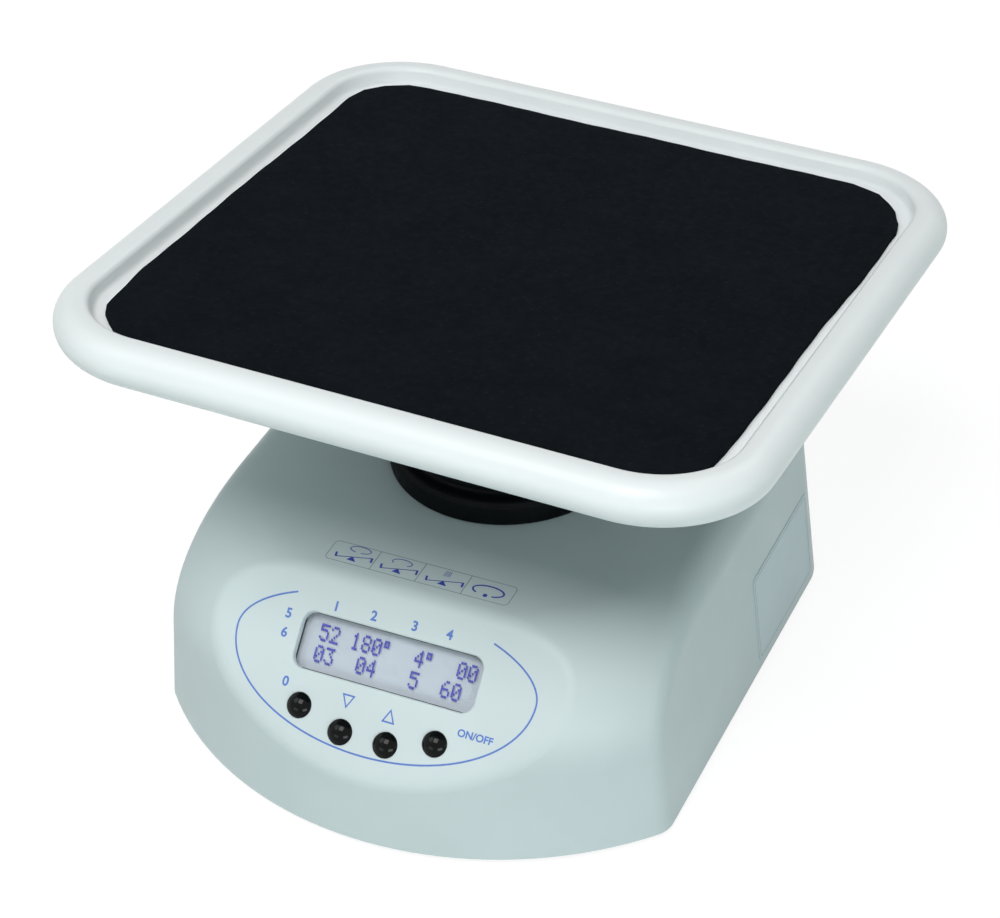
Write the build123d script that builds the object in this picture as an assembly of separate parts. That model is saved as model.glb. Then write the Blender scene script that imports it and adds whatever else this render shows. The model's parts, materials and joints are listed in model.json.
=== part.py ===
from build123d import *
import math
import os

# A three-dimensional rocking shaker for dishes: a moulded bench housing with a sloped keypad,
# and a square tray that wobbles on an inclined spindle without turning round.
# Millimetres. The origin is on the floor below the drive axis, X to the right, Y to the back, Z up.
# In the stored pose the inclined spindle leans towards TILT_DIRECTION.

os.makedirs("parts", exist_ok=True)

# Tray and mat
TRAY_SIZE = 235.0
TRAY_CORNER = 38.5
RIM_DIAMETER = 15.0
RIM_REBATE = 1.25
TRAY_WALL = 2.5
FLOOR_TOP = 2.0
MAT_MARGIN = 16.0
MAT_THICKNESS = 1.4
MAT_CORNER = 22.0
RIB_COUNT = 8
RIB_DEPTH = 6.0
RIB_THICKNESS = 2.0

# Wobble: the inclined axis crosses the drive axis at the pivot
TILT = 7.0
TILT_DIRECTION = 79.0
PIVOT_HEIGHT = 67.4
TRAY_RISE = 71.2

# Housing
FLOOR_GAP = 2.0
HOUSING_TOP = 69.3
HALF_WIDTH = 90.2
FRONT_REACH = 123.4
BACK_REACH = 70.0
BOW_RADIUS = 119.7
DRAFT = 5.2
SHOULDER = 38.0
EDGE_ROUND = 10.0
BACK_CORNER = 20.0
WALL = 2.5

# Sloped panel, its window and its keys
PANEL_SLOPE = 45.0
PANEL_SETBACK = 28.9
PANEL_DROP = 15.7
PANEL_BLEND = 8.0
WINDOW_WIDTH = 63.0
WINDOW_HEIGHT = 18.2
WINDOW_CORNER = 4.0
WINDOW_EDGE = 0.8
WINDOW_OVERLAP = 2.5
WINDOW_THICKNESS = 1.5
KEY_DIAMETER = 8.0
KEY_PITCH = 15.8
KEY_ROW_X = -1.0
KEY_INNER_DROP = 25.2
KEY_OUTER_DROP = 20.6
KEY_PROUD = 2.4
KEY_RIM = 0.6
KEY_FLANGE = 1.2
KEY_FLANGE_WIDTH = 1.2
KEY_STEM_RADIUS = 1.6
KEY_STEM_LENGTH = 1.6
KEY_TRAVEL = 0.5
KEY_CLEARANCE = 0.2

# Display and boards
BEZEL_WIDTH = 71.0
BEZEL_HEIGHT = 25.0
BEZEL_DEPTH = 6.8
BEZEL_FRAME = 3.6
BEZEL_SHEET = 0.6
BOARD_THICKNESS = 1.6
DISPLAY_BOARD_WIDTH = 82.0
DISPLAY_BOARD_HEIGHT = 36.0
POST_RADIUS = 2.2
POST_INSET = 3.2
KEY_BOARD_WIDTH = 68.0
KEY_BOARD_HEIGHT = 13.0
KEY_BOARD_DROP = 24.2
SWITCH_SIZE = 6.0
SWITCH_HEIGHT = 3.6
SWITCH_WELL = 2.0
CONTROL_BOARD_WIDTH = 92.0
CONTROL_BOARD_DEPTH = 46.0
CONTROL_BOARD_SETBACK = 51.4
CONTROL_BOARD_RISE = 6.0
CHIP_SIZE = 12.0
CHIP_HEIGHT = 1.6
CHIP_SPACING = 28.0
SINK_SIZE = 14.0
SINK_HEIGHT = 6.0
SINK_BASE = 2.0
SINK_GAP_COUNT = 4
SINK_GAP = 1.5
SINK_PITCH = 3.0
CAPACITOR_RADIUS = 4.0
CAPACITOR_HEIGHT = 10.0
HEADER_LENGTH = 40.0
HEADER_WIDTH = 5.0
HEADER_HEIGHT = 6.0

# Base plate, feet and screws
PLATE_THICKNESS = 3.0
PLATE_GAP = 0.3
FOOT_RADIUS = 8.0
FOOT_INSET = 26.2
FOOT_FRONT_SETBACK = 61.4
FOOT_BACK_SETBACK = 32.0
BOSS_RADIUS = 4.5
BOSS_FRONT_INSET = 34.2
BOSS_FRONT_SETBACK = 39.4
BOSS_BACK_INSET = 14.2
BOSS_BACK_SETBACK = 20.0
SCREW_RADIUS = 1.5
SCREW_HEAD_RADIUS = 2.8
SCREW_HEAD_HEIGHT = 1.6
SCREW_LENGTH = 10.0
SMALL_HEAD_RADIUS = 2.0
SMALL_HEAD_HEIGHT = 1.3

# Motor and chassis
MOTOR_SIZE = 42.0
MOTOR_HEIGHT = 34.0
MOTOR_CORNER = 4.0
MOTOR_STEP = 0.5
MOTOR_BAND = 8.0
MOTOR_HOLE_PITCH = 31.0
PILOT_RADIUS = 11.0
PILOT_HEIGHT = 2.0
SHAFT_RADIUS = 2.5
SHAFT_LENGTH = 30.0
SHAFT_DEPTH = 6.0
SHAFT_CLEARANCE = 0.05
CHASSIS_WIDTH = 84.0
CHASSIS_DEPTH = 76.0
CHASSIS_CORNER = 6.0
CHASSIS_THICKNESS = 3.0
STANDOFF_X = 36.0
STANDOFF_Y = 32.0
STANDOFF_RADIUS = 4.0
STANDOFF_HEIGHT = 37.5

# Bearings, spindle and hub
JOURNAL_RADIUS = 6.0
BEARING_RADIUS = 14.0
BEARING_WIDTH = 8.0
RING_THICKNESS = 2.4
SEAT_GAP = 0.02
SHIELD_GAP = 0.3
LAND_HEIGHT = 5.5
LAND_RADIUS = 12.0
BLOCK_SIZE = 44.0
BLOCK_FLANGE = 4.0
BLOCK_RADIUS = 18.0
DISC_RADIUS = 20.0
DISC_HEIGHT = 8.0
COLLAR_HEIGHT = 1.0
SPINDLE_BOSS_RADIUS = 9.0
LOWER_SEAT = 22.0
HUB_START = 20.5
HUB_LAND = 16.0
HUB_RADIUS = 18.0
HUB_FLANGE_RADIUS = 36.0
HUB_FLANGE = 4.0
NECK_RADIUS = 27.0
NECK_HEIGHT = 8.0
TRAY_BOSS_HEIGHT = 11.0
TRAY_BOSS_BORE = 24.0
TRAY_SCREW_CIRCLE = 31.0
TRAY_SCREW_RADIUS = 2.0
TRAY_SCREW_HEAD = 4.0
CIRCLIP_THICKNESS = 1.2
CIRCLIP_WIDTH = 2.4
CIRCLIP_GROOVE = 0.8
CIRCLIP_OPENING = 6.0
WASHER_THICKNESS = 1.2
SPINDLE_SCREW_RADIUS = 2.5
SPINDLE_HEAD_RADIUS = 4.5
SPINDLE_HEAD_HEIGHT = 3.0
SPINDLE_SCREW_LENGTH = 12.0
SET_SCREW_RADIUS = 2.0
SET_SCREW_LENGTH = 10.0

# Rubber boot between the housing and the hub
BOOT_OPENING = 37.5
BOOT_SKIRT_RADIUS = 39.7
BOOT_SKIRT_HEIGHT = 7.5
BOOT_WALL = 1.6
BOOT_LIP = 2.0
BOOT_RIBS = 5
BOOT_RIB_DEPTH = 4.0
BOOT_GAP = 0.1
CUFF_HEIGHT = 7.0
CLAMP_WIDTH = 3.5
CLAMP_THICKNESS = 1.1

# Rear panel
REAR_Z = 30.0
ROCKER_X = -30.0
ROCKER_WIDTH = 21.0
ROCKER_HEIGHT = 15.0
ROCKER_BEZEL = 2.0
ROCKER_BODY_WIDTH = 18.8
ROCKER_BODY_HEIGHT = 12.8
ROCKER_BODY_DEPTH = 16.0
ROCKER_POCKET_DEPTH = 9.5
ROCKER_REACH = 8.3
ROCKER_THICKNESS = 9.2
ROCKER_SWING = 22.0
ROCKER_CLEARANCE = 0.35
PIVOT_DEPTH = 1.5
PIVOT_PIN_RADIUS = 1.2
PIVOT_PIN_CLEARANCE = 0.06
PIVOT_PIN_SEAT = 1.0
JACK_X = -58.0
JACK_FLANGE_RADIUS = 6.5
JACK_FLANGE = 1.8
JACK_BUSH_RADIUS = 4.6
JACK_BORE_RADIUS = 3.1
JACK_BORE_DEPTH = 9.2
JACK_DEPTH = 12.0
JACK_PIN_RADIUS = 1.0
JACK_PIN_LENGTH = 9.0
JACK_NUT_RADIUS = 6.6
JACK_NUT_HEIGHT = 2.5

HOLE_CLEARANCE = 0.2
SHARP_ANGLE = 10.0
PLANE_TOLERANCE = 0.01
FAR = 400.0

UPRIGHT = (Align.CENTER, Align.CENTER, Align.MIN)

# Derived places
BOW_CENTRE_Y = BOW_RADIUS - FRONT_REACH
PANEL_Y = PANEL_SETBACK - FRONT_REACH
PANEL_Z = HOUSING_TOP - PANEL_DROP
CONTROL_BOARD_Y = CONTROL_BOARD_SETBACK - FRONT_REACH
MAT_SIZE = TRAY_SIZE - 2 * MAT_MARGIN
RIM_RADIUS = RIM_DIAMETER / 2
RIM_CENTRE = TRAY_SIZE / 2 - RIM_RADIUS
FLOOR_BOTTOM = FLOOR_TOP - TRAY_WALL
PLATE_TOP = FLOOR_GAP + PLATE_THICKNESS
CHASSIS_BOTTOM = PLATE_TOP + STANDOFF_HEIGHT
CHASSIS_TOP = CHASSIS_BOTTOM + CHASSIS_THICKNESS
UPPER_BEARING = CHASSIS_TOP + BEARING_WIDTH + LAND_HEIGHT
BLOCK_TOP = UPPER_BEARING + BEARING_WIDTH
DISC_BOTTOM = BLOCK_TOP + COLLAR_HEIGHT
DISC_TOP = DISC_BOTTOM + DISC_HEIGHT
INNER_RING_RADIUS = JOURNAL_RADIUS + RING_THICKNESS
FLANGE_TOP = TRAY_RISE + FLOOR_BOTTOM - TRAY_BOSS_HEIGHT
NECK_TOP = FLANGE_TOP - HUB_FLANGE
NECK_BOTTOM = NECK_TOP - NECK_HEIGHT
UPPER_SEAT = LOWER_SEAT + BEARING_WIDTH + HUB_LAND
SPINDLE_TOP = UPPER_SEAT + BEARING_WIDTH
KEY_PLACES = [
    ("select_key", KEY_ROW_X - 1.5 * KEY_PITCH, -KEY_OUTER_DROP),
    ("down_key", KEY_ROW_X - 0.5 * KEY_PITCH, -KEY_INNER_DROP),
    ("up_key", KEY_ROW_X + 0.5 * KEY_PITCH, -KEY_INNER_DROP),
    ("run_stop_key", KEY_ROW_X + 1.5 * KEY_PITCH, -KEY_OUTER_DROP),
]
WINDOW_BACK = WALL + WINDOW_THICKNESS
BEZEL_FRONT = WINDOW_BACK + BOOT_GAP
DISPLAY_BOARD_FRONT = BEZEL_FRONT + BEZEL_DEPTH
FLANGE_FRONT = WALL + BOOT_GAP
SWITCH_FRONT = FLANGE_FRONT + KEY_FLANGE + KEY_TRAVEL + SHIELD_GAP
KEY_BOARD_FRONT = SWITCH_FRONT + SWITCH_HEIGHT
DISPLAY_POSTS = [
    (sx * (DISPLAY_BOARD_WIDTH / 2 - POST_INSET), sy * (DISPLAY_BOARD_HEIGHT / 2 - POST_INSET))
    for sx in (-1, 1)
    for sy in (-1, 1)
]
KEY_POSTS = [(KEY_ROW_X + s * (KEY_BOARD_WIDTH / 2 - POST_INSET), -KEY_BOARD_DROP) for s in (-1, 1)]
CASE_BOSSES = [(sx * (HALF_WIDTH - BOSS_FRONT_INSET), BOSS_FRONT_SETBACK - FRONT_REACH) for sx in (-1, 1)]
CASE_BOSSES += [(sx * (HALF_WIDTH - BOSS_BACK_INSET), BACK_REACH - BOSS_BACK_SETBACK) for sx in (-1, 1)]
FEET = [
    (sx * (HALF_WIDTH - FOOT_INSET), y)
    for sx in (-1, 1)
    for y in (FOOT_FRONT_SETBACK - FRONT_REACH, BACK_REACH - FOOT_BACK_SETBACK)
]
STANDOFFS = [(sx * STANDOFF_X, sy * STANDOFF_Y) for sx in (-1, 1) for sy in (-1, 1)]
MOTOR_HOLES = [(sx * MOTOR_HOLE_PITCH / 2, sy * MOTOR_HOLE_PITCH / 2) for sx in (-1, 1) for sy in (-1, 1)]
BOARD_POST_X = CONTROL_BOARD_WIDTH / 2 - POST_INSET
BOARD_POST_Y = CONTROL_BOARD_DEPTH / 2 - POST_INSET
BOARD_POSTS = [(sx * BOARD_POST_X, CONTROL_BOARD_Y + sy * BOARD_POST_Y) for sx in (-1, 1) for sy in (-1, 1)]
TRAY_SCREW_ANGLES = [45 + 90 * i for i in range(4)]

# The line through the pivot about which upright shapes are turned to the lean of the inclined axis
LEAN_LINE = Axis(
    (0, 0, PIVOT_HEIGHT),
    (-math.sin(math.radians(TILT_DIRECTION)), math.cos(math.radians(TILT_DIRECTION)), 0),
)


def leaning(shape):
    """Lift a shape drawn with the pivot at Z = 0 to the pivot, and lean it with the inclined axis."""
    return (Pos(0, 0, PIVOT_HEIGHT) * shape).rotate(LEAN_LINE, TILT)


def panel(depth=0.0):
    """The sloped panel's plane, X to the right and Y up the slope, at a depth below its face."""
    slope = math.radians(PANEL_SLOPE)
    out = (0, -math.sin(slope), math.cos(slope))
    return Plane(origin=(0, PANEL_Y, PANEL_Z), x_dir=(1, 0, 0), z_dir=out).offset(-depth)


def rear(x, depth=0.0):
    """The rear wall's plane at REAR_Z, its Z pointing out of the back, at a depth below its face."""
    draft = math.radians(DRAFT)
    y = BACK_REACH - (REAR_Z - FLOOR_GAP) * math.tan(draft)
    face = Plane(origin=(x, y, REAR_Z), x_dir=(-1, 0, 0), z_dir=(0, math.cos(draft), math.sin(draft)))
    return face.offset(-depth)


def rod(radius, low, high, x=0.0, y=0.0):
    """A cylinder along Z from low to high."""
    return extrude(Pos(x, y, low) * Circle(radius), amount=high - low)


def tube(outer, bore, low, high):
    return rod(outer, low, high) - rod(bore, low, high)


def slab(width, depth, corner, low, high, x=0.0, y=0.0):
    """A plate with rounded corners, from low to high."""
    return extrude(Pos(x, y, low) * RectangleRounded(width, depth, corner), amount=high - low)


def hexagon(radius, low, high, x=0.0, y=0.0):
    """A six-sided bar along Z from low to high."""
    return extrude(Pos(x, y, low) * RegularPolygon(radius, 6), amount=high - low)


def screw(radius, length, head_radius, head_height):
    """A cheese-head screw on the Z axis, its head above Z = 0 and its shank below."""
    return rod(head_radius, 0, head_height) + rod(radius, -length, 0)


def group(shapes):
    """Separate like solids kept together in one node."""
    return Compound(children=[solid for shape in shapes for solid in shape.solids()])


def sharp_edges(form):
    """The edges where two faces meet at more than SHARP_ANGLE."""
    found = []
    for edge in form.edges():
        middle = edge @ 0.5
        sides = [face for face in form.faces() if edge in face.edges()]
        if len(sides) == 2:
            turn = sides[0].normal_at(middle).get_angle(sides[1].normal_at(middle))
            if turn > SHARP_ANGLE:
                found.append(edge)
    return ShapeList(found)


def on_panel(edge, depth):
    return all(abs(panel(depth).to_local_coords(edge @ t).Z) < PLANE_TOLERANCE for t in (0.1, 0.5, 0.9))


def bow_form(inset):
    """The bowed front: its shoulder turned about the bow's centre, and carried straight to the back."""
    draft = math.radians(DRAFT)
    top = HOUSING_TOP - inset
    radius = SHOULDER - inset
    foot = BOW_RADIUS - inset
    centre_z = top - radius
    start_z = centre_z + radius * math.sin(draft)
    start_r = foot - (start_z - FLOOR_GAP) * math.tan(draft)
    centre_r = start_r - radius * math.cos(draft)
    middle = math.radians(45 + DRAFT / 2)
    arc = ThreePointArc(
        (start_r, start_z),
        (centre_r + radius * math.cos(middle), centre_z + radius * math.sin(middle)),
        (centre_r, top),
    )
    lines = Polyline((centre_r, top), (0, top), (0, FLOOR_GAP), (foot, FLOOR_GAP), (start_r, start_z))
    profile = make_face(Plane.XZ * (lines + arc))
    front = revolve(profile, Axis.Z, -180)
    side = extrude(profile, amount=-2 * BACK_REACH)
    return Pos(0, BOW_CENTRE_Y, 0) * (front + side + mirror(side, Plane.YZ))


def housing_form(inset):
    """The closed outer form of the housing, or the same form drawn in by a wall."""
    length = BACK_REACH + 2 * FRONT_REACH
    middle_y = BACK_REACH - inset - length / 2
    plan = Pos(0, middle_y, FLOOR_GAP) * Rectangle(2 * (HALF_WIDTH - inset), length)
    plan = fillet(plan.vertices().group_by(Axis.Y)[-1], BACK_CORNER - inset)
    form = extrude(plan, amount=HOUSING_TOP - inset - FLOOR_GAP, taper=DRAFT) & bow_form(inset)
    rim = sharp_edges(form).filter_by(lambda edge: (edge @ 0.5).Z > FLOOR_GAP + WALL)
    form = fillet(rim, EDGE_ROUND - inset)
    form = form - panel(inset) * Pos(0, 0, FAR / 2) * Box(FAR, FAR, FAR)
    border = form.edges().filter_by(lambda edge: on_panel(edge, inset))
    return fillet(border, PANEL_BLEND + inset)


def in_window(edge):
    middle = panel().to_local_coords(edge @ 0.5)
    beside = abs(middle.X) - WINDOW_WIDTH / 2
    above = abs(middle.Y) - WINDOW_HEIGHT / 2
    return max(beside, above) < PLANE_TOLERANCE


def on_face(plane, places, shape):
    """Copies of a shape at places on a plane."""
    return [plane * Pos(x, y, 0) * shape for x, y in places]


def make_housing():
    outer = housing_form(0)
    skin = housing_form(HOLE_CLEARANCE)
    shell = outer - housing_form(WALL)
    for x, y in CASE_BOSSES:
        shell = shell + (rod(BOSS_RADIUS, PLATE_TOP, HOUSING_TOP, x, y) & skin)
        shell = shell - rod(SCREW_RADIUS + SEAT_GAP, PLATE_TOP, PLATE_TOP + SCREW_LENGTH, x, y)
    for places, front in ((DISPLAY_POSTS, DISPLAY_BOARD_FRONT), (KEY_POSTS, KEY_BOARD_FRONT)):
        for post in on_face(panel(front), places, hexagon(POST_RADIUS, 0, front + SHOULDER)):
            shell = shell + (post & skin)
    window = extrude(RectangleRounded(WINDOW_WIDTH, WINDOW_HEIGHT, WINDOW_CORNER), amount=WALL, both=True)
    shell = shell - panel() * window
    lip = shell.edges().filter_by(lambda edge: on_panel(edge, 0) and in_window(edge))
    shell = fillet(lip, WINDOW_EDGE)
    for _, x, y in KEY_PLACES:
        shell = shell - panel() * rod(KEY_DIAMETER / 2 + KEY_CLEARANCE, -WALL * 2, WALL, x, y)
    shell = shell - rod(BOOT_OPENING, HOUSING_TOP - WALL * 2, HOUSING_TOP + WALL)
    rocker_cut = Box(ROCKER_BODY_WIDTH + HOLE_CLEARANCE, ROCKER_BODY_HEIGHT + HOLE_CLEARANCE, WALL * 4)
    shell = shell - rear(ROCKER_X) * rocker_cut
    return shell - rear(JACK_X) * rod(JACK_BUSH_RADIUS + HOLE_CLEARANCE, -WALL * 2, WALL * 2)


def make_base_plate():
    plate = housing_form(WALL + PLATE_GAP) & slab(FAR, FAR, WALL, FLOOR_GAP, PLATE_TOP)
    head = rod(SCREW_HEAD_RADIUS + HOLE_CLEARANCE, FLOOR_GAP, FLOOR_GAP + SCREW_HEAD_HEIGHT)
    for x, y in BOARD_POSTS:
        plate = plate + hexagon(POST_RADIUS, PLATE_TOP, PLATE_TOP + CONTROL_BOARD_RISE, x, y)
    for x, y in CASE_BOSSES + STANDOFFS:
        plate = plate - rod(SCREW_RADIUS + HOLE_CLEARANCE, FLOOR_GAP, PLATE_TOP, x, y)
        plate = plate - Pos(x, y, 0) * head
    return plate


def make_feet():
    """Four rubber pads stuck to the base plate."""
    foot = rod(FOOT_RADIUS, 0, FLOOR_GAP)
    foot = chamfer(foot.edges().group_by(Axis.Z)[0], FLOOR_GAP / 3)
    return group([Pos(x, y, 0) * foot for x, y in FEET])


def make_plate_screws(places):
    """Screws that enter the base plate from below, their heads sunk in it."""
    fixing = Rot(180, 0, 0) * screw(SCREW_RADIUS, SCREW_LENGTH, SCREW_HEAD_RADIUS, SCREW_HEAD_HEIGHT)
    return group([Pos(x, y, FLOOR_GAP + SCREW_HEAD_HEIGHT) * fixing for x, y in places])


def make_motor():
    body = slab(MOTOR_SIZE, MOTOR_SIZE, MOTOR_CORNER, CHASSIS_BOTTOM - MOTOR_HEIGHT, CHASSIS_BOTTOM)
    low = CHASSIS_BOTTOM - MOTOR_HEIGHT + MOTOR_BAND
    high = CHASSIS_BOTTOM - MOTOR_BAND
    core_size = MOTOR_SIZE - 2 * MOTOR_STEP
    core = slab(core_size, core_size, MOTOR_CORNER * 2, low, high)
    body = body - slab(FAR, FAR, WALL, low, high) + core
    body = body + rod(PILOT_RADIUS, CHASSIS_BOTTOM, CHASSIS_BOTTOM + PILOT_HEIGHT)
    return body - rod(SHAFT_RADIUS + SHAFT_CLEARANCE, CHASSIS_BOTTOM - SHAFT_DEPTH - SHIELD_GAP, FAR)


def make_chassis_plate():
    """The plate that carries the drive, with the heads of the screws that hold it to its standoffs."""
    plate = slab(CHASSIS_WIDTH, CHASSIS_DEPTH, CHASSIS_CORNER, CHASSIS_BOTTOM, CHASSIS_TOP)
    plate = plate - rod(PILOT_RADIUS + HOLE_CLEARANCE, CHASSIS_BOTTOM, CHASSIS_TOP)
    for x, y in STANDOFFS:
        plate = plate + hexagon(SCREW_HEAD_RADIUS, CHASSIS_TOP, CHASSIS_TOP + SCREW_HEAD_HEIGHT, x, y)
    return plate


def make_standoffs():
    post = hexagon(STANDOFF_RADIUS, PLATE_TOP, CHASSIS_BOTTOM)
    post = post - rod(SCREW_RADIUS + SEAT_GAP, PLATE_TOP, PLATE_TOP + SCREW_LENGTH)
    return group([Pos(x, y, 0) * post for x, y in STANDOFFS])


def make_bearing_block():
    """The housing of the two lower bearings, with the heads of the screws that reach the motor."""
    block = slab(BLOCK_SIZE, BLOCK_SIZE, MOTOR_CORNER, CHASSIS_TOP, CHASSIS_TOP + BLOCK_FLANGE)
    block = block + rod(BLOCK_RADIUS, CHASSIS_TOP, BLOCK_TOP) - rod(LAND_RADIUS, CHASSIS_TOP, BLOCK_TOP)
    block = block - rod(BEARING_RADIUS, CHASSIS_TOP, CHASSIS_TOP + BEARING_WIDTH)
    block = block - rod(BEARING_RADIUS, UPPER_BEARING, BLOCK_TOP)
    flange_top = CHASSIS_TOP + BLOCK_FLANGE
    for x, y in MOTOR_HOLES:
        block = block + hexagon(SCREW_HEAD_RADIUS, flange_top, flange_top + SCREW_HEAD_HEIGHT, x, y)
    return block


def outer_ring(low):
    """A sealed bearing's outer ring, closed by its shields."""
    return tube(BEARING_RADIUS - SEAT_GAP, INNER_RING_RADIUS + SHIELD_GAP, low, low + BEARING_WIDTH)


def inner_ring(low):
    return tube(INNER_RING_RADIUS, JOURNAL_RADIUS + SEAT_GAP, low, low + BEARING_WIDTH)


def make_inner_rings():
    upright = [inner_ring(CHASSIS_TOP), inner_ring(UPPER_BEARING)]
    return group(upright + [leaning(inner_ring(LOWER_SEAT)), leaning(inner_ring(UPPER_SEAT))])


def make_spindle():
    """The drive spindle: an upright journal, a disc, and a journal leaning through the pivot."""
    body = rod(JOURNAL_RADIUS, CHASSIS_TOP - SHIELD_GAP, DISC_BOTTOM)
    body = body + rod(INNER_RING_RADIUS, BLOCK_TOP, DISC_BOTTOM)
    disc = rod(DISC_RADIUS, DISC_BOTTOM, DISC_TOP)
    disc = chamfer(disc.edges().group_by(Axis.Z)[-1], COLLAR_HEIGHT)
    start = DISC_BOTTOM + DISC_HEIGHT / 2 - PIVOT_HEIGHT
    slant = rod(SPINDLE_BOSS_RADIUS, start, LOWER_SEAT) + rod(JOURNAL_RADIUS, LOWER_SEAT, SPINDLE_TOP)
    body = body + disc + leaning(slant)
    body = body - rod(SHAFT_RADIUS + SEAT_GAP, 0, CHASSIS_BOTTOM + SHAFT_LENGTH)
    thread = rod(SPINDLE_SCREW_RADIUS + SEAT_GAP, SPINDLE_TOP - SPINDLE_SCREW_LENGTH, SPINDLE_TOP)
    return body - leaning(thread) - cross_rod(SET_SCREW_RADIUS + SEAT_GAP, 0, DISC_RADIUS + WALL)


def cross_rod(radius, start, end):
    """A rod across the spindle's disc, square to the motor shaft."""
    z = DISC_BOTTOM + DISC_HEIGHT / 4
    line = Plane(origin=(0, 0, z), x_dir=(0, 1, 0), z_dir=(1, 0, 0))
    return line * rod(radius, start, end)


def make_hub():
    body = rod(HUB_RADIUS, HUB_START, NECK_BOTTOM) + rod(NECK_RADIUS, NECK_BOTTOM, NECK_TOP)
    body = body + rod(HUB_FLANGE_RADIUS, NECK_TOP, FLANGE_TOP)
    body = body - rod(LAND_RADIUS, HUB_START, FLANGE_TOP)
    body = body - rod(BEARING_RADIUS, HUB_START, LOWER_SEAT + BEARING_WIDTH)
    body = body - rod(BEARING_RADIUS, UPPER_SEAT, FLANGE_TOP)
    groove = rod(BEARING_RADIUS + CIRCLIP_GROOVE, SPINDLE_TOP, SPINDLE_TOP + CIRCLIP_THICKNESS)
    body = body - groove
    hole = rod(TRAY_SCREW_RADIUS + SEAT_GAP, NECK_TOP, FLANGE_TOP, TRAY_SCREW_CIRCLE)
    for angle in TRAY_SCREW_ANGLES:
        body = body - Rot(0, 0, angle) * hole
    return leaning(body)


def make_circlip():
    outer = BEARING_RADIUS + CIRCLIP_GROOVE - SEAT_GAP
    high = SPINDLE_TOP + CIRCLIP_THICKNESS - SEAT_GAP
    ring = tube(outer, outer - CIRCLIP_WIDTH, SPINDLE_TOP + SEAT_GAP, high)
    mouth = Pos(0, -BEARING_RADIUS, SPINDLE_TOP) * Box(CIRCLIP_OPENING, BEARING_RADIUS, BEARING_RADIUS)
    return leaning(ring - mouth)


def rim_section():
    """The rim's hooked section: a round bead, hollow and open below, rebated over the tray's edge."""
    ring = Circle(RIM_RADIUS) - Circle(RIM_RADIUS - TRAY_WALL)
    opening = Pos(-RIM_RADIUS / 2, FLOOR_BOTTOM - RIM_RADIUS / 2) * Rectangle(RIM_RADIUS, RIM_RADIUS)
    low = FLOOR_BOTTOM - TRAY_WALL
    rebate = Rectangle(RIM_REBATE, FLOOR_TOP - low)
    return ring - opening - Pos(RIM_REBATE / 2 - RIM_RADIUS, (low + FLOOR_TOP) / 2) * rebate


def tray_plate(inset, low, high):
    """A plate inside the rim's centre line, drawn in by an inset."""
    side = 2 * (RIM_CENTRE - inset)
    return slab(side, side, TRAY_CORNER - RIM_RADIUS - inset, low, high)


def make_tray_rim():
    path = RectangleRounded(2 * RIM_CENTRE, 2 * RIM_CENTRE, TRAY_CORNER - RIM_RADIUS).wire()
    start = path @ 0
    outward = (path % 0).cross(Vector(0, 0, 1))
    if outward.dot(start) < 0:
        outward = outward * -1
    section = Plane(origin=start, x_dir=outward, z_dir=outward.cross(Vector(0, 0, 1))) * rim_section()
    return leaning(Pos(0, 0, TRAY_RISE) * sweep(section, path=path))


def make_tray():
    boss_bottom = FLOOR_BOTTOM - TRAY_BOSS_HEIGHT
    tray = tray_plate(RIM_RADIUS - RIM_REBATE + BOOT_GAP, FLOOR_BOTTOM, FLOOR_TOP)
    tray = tray + tube(HUB_FLANGE_RADIUS, TRAY_BOSS_BORE, boss_bottom, FLOOR_BOTTOM)
    clip = tray_plate(HOLE_CLEARANCE, -RIM_RADIUS, FLOOR_TOP)
    bar = Pos(HUB_FLANGE_RADIUS + FAR / 4 - TRAY_WALL, 0, FLOOR_BOTTOM - RIB_DEPTH / 2) * Box(
        FAR / 2, RIB_THICKNESS, RIB_DEPTH
    )
    for i in range(RIB_COUNT):
        tray = tray + (Rot(0, 0, i * 360 / RIB_COUNT) * bar & clip)
    hole = rod(TRAY_SCREW_RADIUS + HOLE_CLEARANCE, boss_bottom, FLOOR_TOP, TRAY_SCREW_CIRCLE)
    for angle in TRAY_SCREW_ANGLES:
        tray = tray - Rot(0, 0, angle) * (hole + countersink(HOLE_CLEARANCE))
    return leaning(Pos(0, 0, TRAY_RISE) * tray)


def countersink(clearance):
    """A flat-head screw's head on the tray screw circle, flush with the tray's floor."""
    depth = TRAY_SCREW_HEAD - TRAY_SCREW_RADIUS
    low = TRAY_SCREW_RADIUS + clearance
    high = TRAY_SCREW_HEAD + clearance
    return Pos(TRAY_SCREW_CIRCLE, 0, FLOOR_TOP - depth / 2) * Cone(low, high, depth)


def make_tray_screws():
    bottom = NECK_TOP - TRAY_RISE
    fixing = rod(TRAY_SCREW_RADIUS, bottom, FLOOR_TOP, TRAY_SCREW_CIRCLE) + countersink(0)
    placed = [leaning(Pos(0, 0, TRAY_RISE) * Rot(0, 0, angle) * fixing) for angle in TRAY_SCREW_ANGLES]
    return group(placed)


def make_mat():
    mat = slab(MAT_SIZE, MAT_SIZE, MAT_CORNER, FLOOR_TOP, FLOOR_TOP + MAT_THICKNESS)
    return leaning(Pos(0, 0, TRAY_RISE) * mat)


def bellows_circle(height, radius):
    """One circle of the bellows, leaning by its share of the way from the skirt to the cuff."""
    low = HOUSING_TOP + BOOT_SKIRT_HEIGHT - PIVOT_HEIGHT
    high = NECK_BOTTOM
    share = (height - low) / (high - low)
    level = Plane(origin=(0, 0, PIVOT_HEIGHT + height), x_dir=LEAN_LINE.direction, z_dir=(0, 0, 1))
    return (level * Circle(radius)).rotate(LEAN_LINE, TILT * share)


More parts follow.
